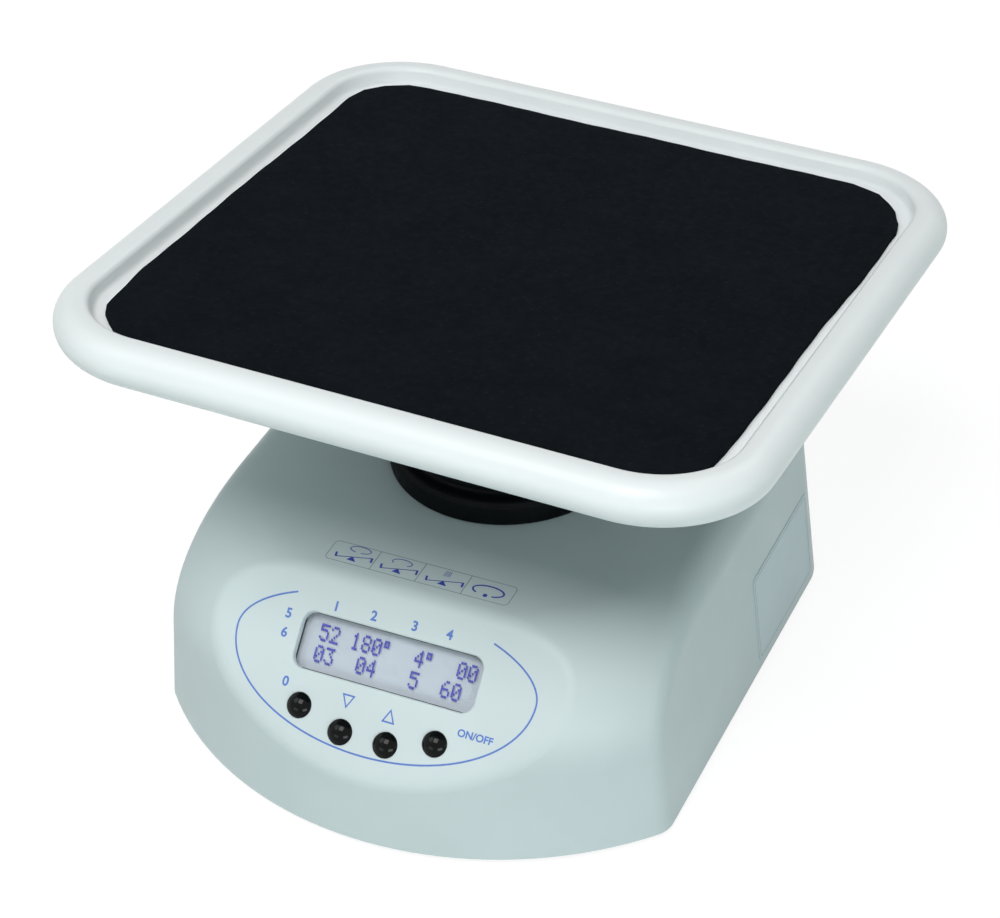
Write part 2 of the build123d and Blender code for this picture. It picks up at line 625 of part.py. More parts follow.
def bellows(inset):
    """The convolutions as a ruled loft: four circles to a rib, narrowing from the skirt to the cuff."""
    low = HOUSING_TOP + BOOT_SKIRT_HEIGHT - PIVOT_HEIGHT
    pitch = (NECK_BOTTOM - low) / BOOT_RIBS
    cuff = NECK_RADIUS + BOOT_GAP + BOOT_WALL
    circles = [bellows_circle(low, BOOT_SKIRT_RADIUS - inset)]
    for rib in range(BOOT_RIBS):
        for part, sunk in ((0.25, 1), (0.45, 1), (0.7, 0), (0.95, 0)):
            way = (rib + part) / BOOT_RIBS
            crest = BOOT_SKIRT_RADIUS + (cuff + BOOT_RIB_DEPTH / 2 - BOOT_SKIRT_RADIUS) * way
            radius = crest - BOOT_RIB_DEPTH * sunk - inset
            circles.append(bellows_circle(low + pitch * (rib + part), radius))
    circles.append(bellows_circle(NECK_BOTTOM, cuff - inset))
    return loft(circles, ruled=True)


def make_boot():
    skirt_top = HOUSING_TOP + BOOT_SKIRT_HEIGHT
    lip_bottom = HOUSING_TOP - WALL - BOOT_LIP
    groove = BOOT_OPENING - BOOT_GAP
    skirt = rod(BOOT_SKIRT_RADIUS, HOUSING_TOP, skirt_top) + rod(groove, HOUSING_TOP - WALL, HOUSING_TOP)
    skirt = skirt + rod(BOOT_SKIRT_RADIUS, lip_bottom, HOUSING_TOP - WALL)
    skirt = skirt - rod(groove - BOOT_WALL, lip_bottom, HOUSING_TOP)
    skirt = skirt - rod(BOOT_SKIRT_RADIUS - BOOT_WALL, HOUSING_TOP, skirt_top)
    skirt = skirt + tube(BOOT_SKIRT_RADIUS, groove - BOOT_WALL, HOUSING_TOP, HOUSING_TOP + BOOT_WALL)
    bore = NECK_RADIUS + BOOT_GAP
    cuff = leaning(tube(bore + BOOT_WALL, bore, NECK_BOTTOM, NECK_BOTTOM + CUFF_HEIGHT))
    return skirt + (bellows(0) - bellows(BOOT_WALL)) + cuff


def make_boot_clamp():
    bore = NECK_RADIUS + BOOT_GAP + BOOT_WALL + BOOT_GAP
    low = NECK_BOTTOM + (CUFF_HEIGHT - CLAMP_WIDTH) / 2
    band = tube(bore + CLAMP_THICKNESS, bore, low, low + CLAMP_WIDTH)
    lug = Pos(bore + CLAMP_WIDTH / 2, 0, low + CLAMP_WIDTH / 2) * Box(CLAMP_WIDTH, CLAMP_WIDTH, CLAMP_WIDTH)
    return leaning(band + (lug - rod(bore, 0, FAR)))


def make_window():
    width = WINDOW_WIDTH + 2 * WINDOW_OVERLAP
    height = WINDOW_HEIGHT + 2 * WINDOW_OVERLAP
    return panel(WINDOW_BACK) * slab(width, height, WINDOW_CORNER, 0, WINDOW_THICKNESS)


def make_bezel():
    frame = Box(BEZEL_WIDTH, BEZEL_HEIGHT, BEZEL_DEPTH, align=UPRIGHT)
    inner_width = BEZEL_WIDTH - 2 * BEZEL_SHEET
    inner_height = BEZEL_HEIGHT - 2 * BEZEL_SHEET
    pocket = Box(inner_width, inner_height, BEZEL_DEPTH - BEZEL_SHEET, align=UPRIGHT)
    opening = Box(BEZEL_WIDTH - 2 * BEZEL_FRAME, BEZEL_HEIGHT - 2 * BEZEL_FRAME, FAR)
    return panel(DISPLAY_BOARD_FRONT) * (frame - pocket - opening)


def make_glass():
    """The display cell with its backlight, from the board to the bezel's lip."""
    width = BEZEL_WIDTH - 2 * BEZEL_SHEET - 2 * HOLE_CLEARANCE
    height = BEZEL_HEIGHT - 2 * BEZEL_SHEET - 2 * HOLE_CLEARANCE
    depth = BEZEL_DEPTH - BEZEL_SHEET - BOOT_GAP
    return panel(DISPLAY_BOARD_FRONT) * Box(width, height, depth, align=UPRIGHT)


def make_sloped_board(width, height, x, y, front, posts):
    """A circuit board parallel to the sloped panel, with the heads of its screws."""
    board = Pos(x, y, 0) * Box(width, height, BOARD_THICKNESS, align=UPRIGHT)
    for px, py in posts:
        board = board + hexagon(SMALL_HEAD_RADIUS, -SMALL_HEAD_HEIGHT, 0, px, py)
    return panel(front + BOARD_THICKNESS) * board


def make_key_switches():
    body = Box(SWITCH_SIZE, SWITCH_SIZE, SWITCH_HEIGHT, align=UPRIGHT)
    well = KEY_STEM_RADIUS + SHIELD_GAP
    body = body - rod(well, SWITCH_HEIGHT - SWITCH_WELL, SWITCH_HEIGHT)
    return group(on_face(panel(KEY_BOARD_FRONT), [(x, y) for _, x, y in KEY_PLACES], body))


def make_key(x, y):
    """A domed push key with the flange that keeps it in the housing and the stem that works its switch."""
    radius = KEY_DIAMETER / 2
    flange_back = -FLANGE_FRONT - KEY_FLANGE
    rise = KEY_PROUD - KEY_RIM
    ball = (radius**2 + rise**2) / (2 * rise)
    cap = rod(radius, flange_back, KEY_PROUD) & Pos(0, 0, KEY_PROUD - ball) * Sphere(ball)
    cap = cap + rod(radius, flange_back, KEY_RIM)
    cap = cap + rod(radius + KEY_FLANGE_WIDTH, flange_back, -FLANGE_FRONT)
    cap = cap + rod(KEY_STEM_RADIUS, flange_back - KEY_STEM_LENGTH, flange_back)
    return panel() * Pos(x, y, 0) * cap


def make_control_board():
    """The circuit board on the base plate, with the heads of its screws."""
    low = PLATE_TOP + CONTROL_BOARD_RISE
    high = low + BOARD_THICKNESS
    board = slab(CONTROL_BOARD_WIDTH, CONTROL_BOARD_DEPTH, POST_RADIUS, low, high, 0, CONTROL_BOARD_Y)
    for x, y in BOARD_POSTS:
        board = board + hexagon(SMALL_HEAD_RADIUS, high, high + SMALL_HEAD_HEIGHT, x, y)
    return board


def component(width, depth, height, x, y):
    """A block that stands on the control board, at a place measured from the board's middle."""
    top = PLATE_TOP + CONTROL_BOARD_RISE + BOARD_THICKNESS
    return Pos(x, CONTROL_BOARD_Y + y, top) * Box(width, depth, height, align=UPRIGHT)


def make_board_parts():
    """A processor, a driver under its heat sink, a capacitor and a header along the front and the back."""
    chip = component(CHIP_SIZE, CHIP_SIZE, CHIP_HEIGHT, -CHIP_SPACING / 2, 0)
    sink = component(SINK_SIZE, SINK_SIZE, SINK_HEIGHT, CHIP_SPACING / 2, 0)
    for i in range(SINK_GAP_COUNT):
        x = CHIP_SPACING / 2 + (i - (SINK_GAP_COUNT - 1) / 2) * SINK_PITCH
        sink = sink - Pos(0, 0, SINK_BASE) * component(SINK_GAP, SINK_SIZE, SINK_HEIGHT, x, 0)
    top = PLATE_TOP + CONTROL_BOARD_RISE + BOARD_THICKNESS
    capacitor = rod(CAPACITOR_RADIUS, top, top + CAPACITOR_HEIGHT, CHIP_SPACING, CONTROL_BOARD_Y)
    header_y = CONTROL_BOARD_DEPTH / 2 - HEADER_WIDTH
    front = component(HEADER_LENGTH, HEADER_WIDTH, HEADER_HEIGHT, 0, -header_y)
    back = component(HEADER_LENGTH, HEADER_WIDTH, HEADER_HEIGHT, 0, header_y)
    return group([chip, sink, capacitor, front, back])


def make_switch_frame():
    bezel = slab(ROCKER_WIDTH, ROCKER_HEIGHT, ROCKER_BEZEL / 2, 0, ROCKER_BEZEL)
    bezel = fillet(bezel.edges().group_by(Axis.Z)[-1], ROCKER_BEZEL / 3)
    body = Pos(0, 0, -ROCKER_BODY_DEPTH / 2) * Box(ROCKER_BODY_WIDTH, ROCKER_BODY_HEIGHT, ROCKER_BODY_DEPTH)
    pocket_height = ROCKER_POCKET_DEPTH + ROCKER_BEZEL
    pocket = Pos(0, 0, ROCKER_BEZEL - pocket_height / 2) * Box(
        2 * (ROCKER_REACH + ROCKER_CLEARANCE), ROCKER_THICKNESS + 2 * ROCKER_CLEARANCE, pocket_height
    )
    length = ROCKER_THICKNESS + 2 * (ROCKER_CLEARANCE + PIVOT_PIN_SEAT)
    pin = Pos(0, 0, -PIVOT_DEPTH) * Rot(90, 0, 0) * Cylinder(PIVOT_PIN_RADIUS + PIVOT_PIN_CLEARANCE, length)
    return rear(ROCKER_X) * (bezel + body - pocket - pin)


def make_rocker():
    """The rocker at its off stop: a drum segment with a shallow V across its face and two pivot pins."""
    half = math.radians(ROCKER_SWING / 2)
    rise = ROCKER_REACH * math.tan(half)
    crease = ROCKER_BEZEL + PIVOT_DEPTH - rise / 2
    side = ROCKER_REACH * 2
    high = crease + 2 * rise
    low = -ROCKER_REACH / 2
    outline = Polyline((-side, high), (0, crease), (side, high), (side, low), (-side, low), close=True)
    face = make_face(outline) & Circle(ROCKER_REACH)
    drum = extrude(Plane.XZ * face, amount=ROCKER_THICKNESS / 2, both=True)
    length = ROCKER_THICKNESS + 2 * (ROCKER_CLEARANCE + PIVOT_PIN_SEAT - SEAT_GAP)
    drum = drum + Rot(90, 0, 0) * Cylinder(PIVOT_PIN_RADIUS, length)
    return rear(ROCKER_X, PIVOT_DEPTH) * Rot(0, ROCKER_SWING / 2, 0) * drum


def make_jack():
    body = rod(JACK_FLANGE_RADIUS, 0, JACK_FLANGE) + rod(JACK_BUSH_RADIUS, -JACK_DEPTH, 0)
    return rear(JACK_X) * (body - rod(JACK_BORE_RADIUS, -JACK_BORE_DEPTH, JACK_FLANGE))


def make_jack_pin():
    return rear(JACK_X) * rod(JACK_PIN_RADIUS, -JACK_BORE_DEPTH, JACK_PIN_LENGTH - JACK_BORE_DEPTH)


def make_jack_nut():
    nut = hexagon(JACK_NUT_RADIUS, -WALL - JACK_NUT_HEIGHT, -WALL)
    return rear(JACK_X) * (nut - rod(JACK_BUSH_RADIUS + SEAT_GAP, -FAR, 0))


def make_spindle_washer():
    bore = SPINDLE_SCREW_RADIUS + HOLE_CLEARANCE
    return leaning(tube(INNER_RING_RADIUS, bore, SPINDLE_TOP, SPINDLE_TOP + WASHER_THICKNESS))


def make_spindle_screw():
    length = SPINDLE_SCREW_LENGTH + WASHER_THICKNESS - SHIELD_GAP
    fixing = screw(SPINDLE_SCREW_RADIUS, length, SPINDLE_HEAD_RADIUS, SPINDLE_HEAD_HEIGHT)
    return leaning(Pos(0, 0, SPINDLE_TOP + WASHER_THICKNESS) * fixing)


parts = {
    "housing": make_housing(),
    "base_plate": make_base_plate(),
    "rubber_feet": make_feet(),
    "case_screws": make_plate_screws(CASE_BOSSES),
    "standoff_screws": make_plate_screws(STANDOFFS),
    "motor_body": make_motor(),
    "motor_shaft": rod(SHAFT_RADIUS, CHASSIS_BOTTOM - SHAFT_DEPTH, CHASSIS_BOTTOM + SHAFT_LENGTH),
    "chassis_plate": make_chassis_plate(),
    "chassis_standoffs": make_standoffs(),
    "bearing_block": make_bearing_block(),
    "drive_bearing_rings": group([outer_ring(CHASSIS_TOP), outer_ring(UPPER_BEARING)]),
    "bearing_inner_rings": make_inner_rings(),
    "spindle": make_spindle(),
    "spindle_set_screw": cross_rod(
        SET_SCREW_RADIUS, SHAFT_RADIUS + SEAT_GAP, SHAFT_RADIUS + SEAT_GAP + SET_SCREW_LENGTH
    ),
    "spindle_washer": make_spindle_washer(),
    "spindle_screw": make_spindle_screw(),
    "hub": make_hub(),
    "hub_circlip": make_circlip(),
    "hub_bearing_rings": group([leaning(outer_ring(LOWER_SEAT)), leaning(outer_ring(UPPER_SEAT))]),
    "tray": make_tray(),
    "tray_rim": make_tray_rim(),
    "tray_mat": make_mat(),
    "tray_screws": make_tray_screws(),
    "drive_boot": make_boot(),
    "boot_clamp": make_boot_clamp(),
    "display_window": make_window(),
    "display_bezel": make_bezel(),
    "display_glass": make_glass(),
    "display_board": make_sloped_board(
        DISPLAY_BOARD_WIDTH, DISPLAY_BOARD_HEIGHT, 0, 0, DISPLAY_BOARD_FRONT, DISPLAY_POSTS
    ),
    "key_switches": make_key_switches(),
    "key_board": make_sloped_board(
        KEY_BOARD_WIDTH, KEY_BOARD_HEIGHT, KEY_ROW_X, -KEY_BOARD_DROP, KEY_BOARD_FRONT, KEY_POSTS
    ),
    "control_board": make_control_board(),
    "board_parts": make_board_parts(),
    "switch_frame": make_switch_frame(),
    "power_rocker": make_rocker(),
    "jack_body": make_jack(),
    "jack_pin": make_jack_pin(),
    "jack_nut": make_jack_nut(),
}
for name, x, y in KEY_PLACES:
    parts[name] = make_key(x, y)

for name, shape in parts.items():
    export_step(shape, "parts/" + name + ".step")
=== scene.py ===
import json
import math
import bpy
import bmesh
from mathutils import Matrix, Vector
from mathutils.bvhtree import BVHTree


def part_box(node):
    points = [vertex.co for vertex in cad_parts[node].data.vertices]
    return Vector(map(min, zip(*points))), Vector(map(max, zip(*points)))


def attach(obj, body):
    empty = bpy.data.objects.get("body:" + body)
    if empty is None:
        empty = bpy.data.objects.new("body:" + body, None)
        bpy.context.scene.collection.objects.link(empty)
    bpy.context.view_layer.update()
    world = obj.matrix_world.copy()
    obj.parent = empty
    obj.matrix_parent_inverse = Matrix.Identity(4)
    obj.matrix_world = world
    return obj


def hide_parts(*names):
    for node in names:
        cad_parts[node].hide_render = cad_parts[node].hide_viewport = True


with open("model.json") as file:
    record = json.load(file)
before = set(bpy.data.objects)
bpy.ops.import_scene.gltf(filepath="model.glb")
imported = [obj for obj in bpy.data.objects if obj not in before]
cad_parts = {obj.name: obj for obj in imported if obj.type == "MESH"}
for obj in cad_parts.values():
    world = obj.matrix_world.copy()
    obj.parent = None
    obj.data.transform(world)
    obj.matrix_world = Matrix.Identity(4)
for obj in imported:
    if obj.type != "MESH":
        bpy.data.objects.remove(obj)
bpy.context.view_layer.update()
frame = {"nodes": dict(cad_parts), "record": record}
nodes = frame["nodes"]
MM = 0.001

# Sizes and angles that repeat the part's own named values, in millimetres and radians
HOUSING_TOP = 69.3
FLOOR_GAP = 2.0
HALF_WIDTH = 90.2
PIVOT_HEIGHT = 67.4
TRAY_RISE = 71.2
FLOOR_TOP = 2.0
MAT_THICKNESS = 1.4
PANEL_SLOPE = math.radians(45)
TILT = math.radians(7)
TILT_DIRECTION = math.radians(79)
DRAFT = math.radians(5.2)

# Points in metres, and directions
PANEL_AT = Vector((0, -94.5, 53.6)) * MM
PANEL_OUT = Vector((0, -math.sin(PANEL_SLOPE), math.cos(PANEL_SLOPE)))
PANEL_UP = Vector((0, math.cos(PANEL_SLOPE), math.sin(PANEL_SLOPE)))
PANEL_RIGHT = Vector((1, 0, 0))
UPWARD = Vector((0, 0, 1))
FORWARD = Vector((0, -1, 0))
PIVOT = Vector((0, 0, PIVOT_HEIGHT)) * MM
LEAN_LINE = Vector((-math.sin(TILT_DIRECTION), math.cos(TILT_DIRECTION), 0))

# The corners of a square tray or mat, in order round it: the side in x and y, and the arc's first angle
CORNERS = [(1, -1, -90), (1, 1, 0), (-1, 1, 90), (-1, -1, 180)]


# Shapes

INK_LIFT = 0.03 * MM
RAY_START = 20 * MM

# At a sharp bend a flat line is made at most twice as wide, so the cosine counts as no less than this
LEAST_COSINE = 0.5


def mesh_object(name, verts, faces, material, smooth=True):
    mesh = bpy.data.meshes.new(name)
    mesh.from_pydata([tuple(v) for v in verts], [], faces)
    mesh.validate()
    shape = bmesh.new()
    shape.from_mesh(mesh)
    bmesh.ops.recalc_face_normals(shape, faces=shape.faces)
    shape.to_mesh(mesh)
    shape.free()
    for face in mesh.polygons:
        face.use_smooth = smooth
    made = bpy.data.objects.new(name, mesh)
    bpy.context.scene.collection.objects.link(made)
    made.data.materials.append(material)
    return made


def smooth_by_angle(piece, degrees):
    """Shade smooth, with the edges sharper than this kept."""
    for face in piece.data.polygons:
        face.use_smooth = True
    piece.data.set_sharp_from_angle(angle=math.radians(degrees))


def skin(rings, around, closed=False):
    """Faces from each ring of vertices to the next, and from the last ring to the first where closed."""
    faces = []
    for ring in range(rings if closed else rings - 1):
        here = ring * around
        there = (ring + 1) % rings * around
        for i in range(around):
            j = (i + 1) % around
            faces.append((here + i, here + j, there + j, there + i))
    return faces


def leaning(share=1.0):
    """The turn about the pivot that leans an upright shape by a share of the tilt."""
    return Matrix.Translation(PIVOT) @ Matrix.Rotation(TILT * share, 4, LEAN_LINE)


def surface_of(node):
    """The node's surface, for rays."""
    copy = nodes[node].evaluated_get(bpy.context.evaluated_depsgraph_get())
    shape = bmesh.new()
    shape.from_mesh(copy.data)
    tree = BVHTree.FromBMesh(shape)
    shape.free()
    return tree


housing_surface = surface_of("housing")


def laid(point, out):
    """The point moved along out onto the housing, and lifted off it by the thickness of ink."""
    hit = housing_surface.ray_cast(point + out * RAY_START, -out)
    where = hit[0] if hit[0] is not None else point
    return where + out * INK_LIFT


def panel_point(x, v, out=0.0):
    """A place on the sloped panel: right of its middle, up its slope and out of it, in millimetres."""
    return PANEL_AT + PANEL_RIGHT * (x * MM) + PANEL_UP * (v * MM) + PANEL_OUT * (out * MM)


def on_panel(x, v):
    return laid(panel_point(x, v), PANEL_OUT)


def on_top(x, y):
    return laid(Vector((x * MM, y * MM, HOUSING_TOP * MM)), UPWARD)


def ribbon(points, width, closed=False):
    """A flat line of constant width through points in a plane: its vertices and faces."""
    count = len(points)
    verts = []
    for i, point in enumerate(points):
        before = points[(i - 1) % count] if closed or i > 0 else point
        after = points[(i + 1) % count] if closed or i < count - 1 else point
        along = (Vector(after) - Vector(before)).normalized()
        side = Vector((-along.y, along.x))
        turn_in = (Vector(point) - Vector(before)).normalized()
        bend = abs(turn_in.dot(along)) if turn_in.length > 0 else 1
        half = width / 2 / max(LEAST_COSINE, bend)
        verts.append(Vector(point) + side * half)
        verts.append(Vector(point) - side * half)
    faces = []
    for i in range(count if closed else count - 1):
        a = 2 * i
        b = 2 * ((i + 1) % count)
        faces.append((a, b, b + 1, a + 1))
    return verts, faces


def ellipse(x, y, a, b, start, end, count):
    """Points on an ellipse with half axes a and b, from one angle to another in degrees."""
    angles = [math.radians(start + (end - start) * i / count) for i in range(count + 1)]
    return [(x + a * math.cos(angle), y + b * math.sin(angle)) for angle in angles]


def disc(x, y, radius, count=24):
    ring = [Vector(point) for point in ellipse(x, y, radius, radius, 0, 360, count)[:-1]]
    return ring, [tuple(range(count))]


def rounded(left, right, low, high, radius, count=8):
    """The line of a rectangle with round corners, each of count steps."""
    places = [(right - radius, low + radius), (right - radius, high - radius),
              (left + radius, high - radius), (left + radius, low + radius)]
    line = []
    for (x, y), (_, _, start) in zip(places, CORNERS):
        line += ellipse(x, y, radius, radius, start, start + 90, count)
    return line


def triangle(x, v, size, direction):
    """A triangle's corners, pointing up the slope for 1 and down it for -1."""
    half = size / 2
    return [(x - half, v - direction * half), (x + half, v - direction * half), (x, v + direction * half)]


def outlined(points, width):
    """A closed polygon's outline with sharp mitred corners."""
    middle = Vector((sum(p[0] for p in points), sum(p[1] for p in points))) / len(points)
    inner = [middle + (Vector(p) - middle) * (1 - width / (Vector(p) - middle).length) for p in points]
    verts = [Vector(p) for p in points] + inner
    return verts, skin(2, len(points))


def gather(parts):
    """Several flat shapes as one list of vertices and faces."""
    verts = []
    faces = []
    for part_verts, part_faces in parts:
        base = len(verts)
        verts += part_verts
        faces += [tuple(base + i for i in face) for face in part_faces]
    return verts, faces


# Materials


def srgb(r, g, b):
    """A colour as it is seen, 0 to 255, turned into Blender's linear values."""
    def one(c):
        c = c / 255
        return c / 12.92 if c <= 0.04045 else ((c + 0.055) / 1.055) ** 2.4
    return (one(r), one(g), one(b))


def shade(colour, factor):
    return (min(1, colour[0] * factor), min(1, colour[1] * factor), min(1, colour[2] * factor), 1)


class Surface:
    """A procedural material: mottled colour, varied roughness and a fine relief, all in the row frame."""

    # The bands of a noise or cell pattern that become the change of colour, roughness or specks
    MOTTLE_BAND = (0.35, 0.65)
    WEAR_BAND = (0.3, 0.7)
    SPECK_BAND = (0.10, 0.24)
    SMOOTHEST = 0.02

    # The colour sockets of Blender's mix node, by number since they share their names with others
    MIX_FACTOR = 0
    MIX_FIRST = 6
    MIX_SECOND = 7
    MIX_RESULT = 2

    def __init__(self, name, colour, rough, metallic=0.0):
        self.material = bpy.data.materials.new(name)
        self.material.use_nodes = True
        self.tree = self.material.node_tree
        self.tree.nodes.clear()
        self.out = self.tree.nodes.new("ShaderNodeOutputMaterial")
        self.shader = self.tree.nodes.new("ShaderNodeBsdfPrincipled")
        self.tree.links.new(self.shader.outputs[0], self.out.inputs[0])
        self.colour = colour
        self.shader.inputs["Base Color"].default_value = shade(colour, 1)
        self.shader.inputs["Roughness"].default_value = rough
        self.shader.inputs["Metallic"].default_value = metallic
        self.rough = rough
        self.normal = None
        self.tint = None
        self.coords = self.tree.nodes.new("ShaderNodeTexCoord").outputs["Object"]

    def link(self, a, b):
        self.tree.links.new(a, b)

    def node(self, kind, **values):
        made = self.tree.nodes.new(kind)
        for key, value in values.items():
            setattr(made, key, value)
        return made

    def space(self, scale=(1, 1, 1)):
        mapping = self.node("ShaderNodeMapping")
        mapping.inputs["Scale"].default_value = scale
        self.link(self.coords, mapping.inputs["Vector"])
        return mapping.outputs[0]

    def noise(self, size_mm, detail=2.0, stretch=(1, 1, 1)):
        made = self.node("ShaderNodeTexNoise")
        made.inputs["Scale"].default_value = 1 / (size_mm * MM)
        made.inputs["Detail"].default_value = detail
        self.link(self.space(stretch), made.inputs["Vector"])
        return made.outputs["Fac"]

    def cells(self, size_mm, feature="F1"):
        made = self.node("ShaderNodeTexVoronoi", feature=feature)
        made.inputs["Scale"].default_value = 1 / (size_mm * MM)
        self.link(self.space(), made.inputs["Vector"])
        return made.outputs["Distance"]

    def ramp(self, value, band, a, b):
        """The value's band from low to high, spread from a to b."""
        made = self.node("ShaderNodeMapRange")
        made.inputs["From Min"].default_value = band[0]
        made.inputs["From Max"].default_value = band[1]
        made.inputs["To Min"].default_value = a
        made.inputs["To Max"].default_value = b
        self.link(value, made.inputs["Value"])
        return made.outputs["Result"]

    def blend(self, fac, a, b):
        mix = self.node("ShaderNodeMix", data_type="RGBA")
        self.link(fac, mix.inputs[self.MIX_FACTOR])
        for socket, value in ((self.MIX_FIRST, a), (self.MIX_SECOND, b)):
            if isinstance(value, tuple):
                mix.inputs[socket].default_value = value
            else:
                self.link(value, mix.inputs[socket])
        self.tint = mix.outputs[self.MIX_RESULT]
        self.link(self.tint, self.shader.inputs["Base Color"])
        return self

    def mottle(self, size_mm, amount):
        """Slow drift of the colour, darker and lighter by amount."""
        fac = self.ramp(self.noise(size_mm, detail=3.0), self.MOTTLE_BAND, 0, 1)
        return self.blend(fac, shade(self.colour, 1 - amount), shade(self.colour, 1 + amount))

    def specks(self, size_mm, colour, amount):
        """Sparse specks of another colour over the mottle, such as dust or worn points."""
        fac = self.ramp(self.cells(size_mm), self.SPECK_BAND, amount, 0)
        return self.blend(fac, self.tint, (*colour, 1))

    def wear(self, size_mm, spread, stretch=(1, 1, 1)):
        """Roughness that drifts by spread to either side."""
        smoother = max(self.SMOOTHEST, self.rough - spread)
        rougher = min(1, self.rough + spread)
        fac = self.noise(size_mm, detail=4.0, stretch=stretch)
        self.link(self.ramp(fac, self.WEAR_BAND, smoother, rougher), self.shader.inputs["Roughness"])
        return self

    def relief(self, value, depth_mm, strength=1.0):
        """A fine relief, laid over any relief that is there."""
        bump = self.node("ShaderNodeBump")
        bump.inputs["Distance"].default_value = depth_mm * MM
        bump.inputs["Strength"].default_value = strength
        self.link(value, bump.inputs["Height"])
        if self.normal is not None:
            self.link(self.normal, bump.inputs["Normal"])
        self.normal = bump.outputs[0]
        self.link(self.normal, self.shader.inputs["Normal"])
        return self

    def set(self, **values):
        for key, value in values.items():
            self.shader.inputs[key.replace("_", " ")].default_value = value
        return self


# In these recipes the first number of mottle and wear is a size in millimetres, the second an amount

# Directions in which a metal's marks are drawn out
BRUSHED = (1, 0.04, 1)
TURNED = (0.02, 0.02, 1)


def plastic(name, colour, rough, grain=0.35, depth=0.012, mottle=0.02):
    made = Surface(name, colour, rough).mottle(40, mottle).wear(9, 0.05)
    return made.relief(made.noise(grain), depth).relief(made.noise(14, detail=1.0), depth_mm=0.02)


def rubber(name, colour, rough, grain=0.5):
    made = Surface(name, colour, rough).mottle(7, 0.12).wear(5, 0.06)
    return made.relief(made.noise(grain, detail=3.0), depth_mm=0.03).set(Specular_IOR_Level=0.35)


def metal(name, colour, rough, stretch, grain=1.2):
    made = Surface(name, colour, rough, metallic=1.0).mottle(12, 0.05).wear(grain, 0.08, stretch)
    return made.relief(made.noise(grain, detail=3.0, stretch=stretch), depth_mm=0.006)


def ink_like(name, colour, mottle_mm=1.2, mottle=0.06):
    return Surface(name, colour, 0.5).mottle(mottle_mm, mottle).wear(0.8, 0.06)


def motor_coat():
    made = Surface("motor_black", srgb(44, 45, 48), 0.45, metallic=0.3)
    return made.mottle(10, 0.1).wear(2, 0.1, BRUSHED)


def polished_keys():
    made = Surface("key_black", srgb(4, 5, 6), 0.06).mottle(3, 0.15).wear(1.5, 0.02)
    return made.set(Specular_IOR_Level=0.14)


def mat_rubber():
    made = Surface("mat_rubber", srgb(14, 19, 23), 0.85).mottle(18, 0.12).wear(3, 0.07)
    made.specks(3.2, srgb(30, 36, 41), 0.3)
    made.relief(made.noise(0.7, detail=3.0), depth_mm=0.05)
    made.relief(made.cells(1.3), depth_mm=0.04, strength=0.6)
    return made.set(Specular_IOR_Level=0.03)


def boot_rubber():
    made = Surface("boot_rubber", srgb(8, 11, 13), 0.5).mottle(6, 0.2).wear(4, 0.1)
    return made.relief(made.noise(0.9), depth_mm=0.02).set(Specular_IOR_Level=0.06)


def clear_window():
    made = Surface("window", srgb(150, 160, 170), 0.06).mottle(20, 0.01).wear(6, 0.02)
    return made.set(Alpha=0.07, Specular_IOR_Level=0.3)


def display_glass():
    made = Surface("display", srgb(212, 220, 230), 0.30).mottle(26, 0.025).wear(8, 0.04)
    return made.relief(made.noise(0.5, detail=1.0), depth_mm=0.004)


def circuit_board():
    made = Surface("board", srgb(34, 92, 58), 0.42).mottle(5, 0.12)
    traces = made.ramp(made.cells(2.6, "DISTANCE_TO_EDGE"), (0.03, 0.06), 1, 0)
    made.blend(traces, made.tint, shade(srgb(62, 128, 84), 1))
    return made.relief(traces, depth_mm=0.03)


def moulded_tray():
    made = plastic("tray_shell", srgb(236, 240, 241), 0.33, grain=0.8, depth=0.008, mottle=0.012)
    return made.set(Specular_IOR_Level=0.3)


SURFACES = {
    "shell": plastic("shell", srgb(207, 218, 220), 0.40).set(Specular_IOR_Level=0.25),
    "plate": plastic("plate", srgb(150, 156, 158), 0.55, grain=0.6, depth=0.03),
    "foot_rubber": rubber("foot_rubber", srgb(32, 33, 35), 0.75),
    "screw_steel": metal("screw_steel", srgb(190, 190, 192), 0.32, TURNED, grain=0.4),
    "motor_black": motor_coat(),
    "spindle_steel": metal("spindle_steel", srgb(178, 179, 181), 0.25, TURNED),
    "chassis": metal("chassis", srgb(200, 202, 205), 0.34, BRUSHED),
    "standoff_brass": metal("standoff_brass", srgb(205, 172, 104), 0.30, TURNED, grain=0.6),
    "bearing_steel": metal("bearing_steel", srgb(205, 206, 210), 0.16, TURNED, grain=0.8),
    "hub_aluminium": metal("hub_aluminium", srgb(198, 200, 203), 0.30, TURNED),
    "tray_shell": moulded_tray(),
    "boot_clamp": plastic("boot_clamp", srgb(30, 30, 32), 0.5),
    "bezel": plastic("bezel", srgb(30, 31, 34), 0.45, grain=0.5),
    "board_parts": plastic("board_parts", srgb(36, 37, 40), 0.5, grain=0.3),
    "switch_black": plastic("switch_black", srgb(30, 31, 33), 0.48, grain=0.3),
    "key_black": polished_keys(),
    "mat_rubber": mat_rubber(),
    "boot_rubber": boot_rubber(),
    "window": clear_window(),
    "display": display_glass(),
    "board": circuit_board(),
}
ink = ink_like("printed_ink", srgb(84, 120, 196))
dark_ink = ink_like("symbol_ink", srgb(48, 72, 176))
pale_ink = ink_like("box_ink", srgb(138, 156, 164), mottle=0.05)
white_ink = ink_like("switch_marks", srgb(225, 227, 228), mottle_mm=0.8, mottle=0.05)
dots_ink = Surface("display_dots", srgb(62, 62, 182), 0.4).mottle(0.7, 0.08).wear(0.5, 0.05)
# The screws' cross recesses: a dark colour of painted shade on flat crosses, as no hollow is cut
recess_shade = Surface("screw_recess_shade", srgb(46, 46, 48), 0.5, metallic=0.5).mottle(0.8, 0.1).wear(0.6, 0.08)
label = plastic("side_plate", srgb(200, 216, 221), 0.34, grain=1.5, depth=0.004)
label.set(Specular_IOR_Level=0.3)
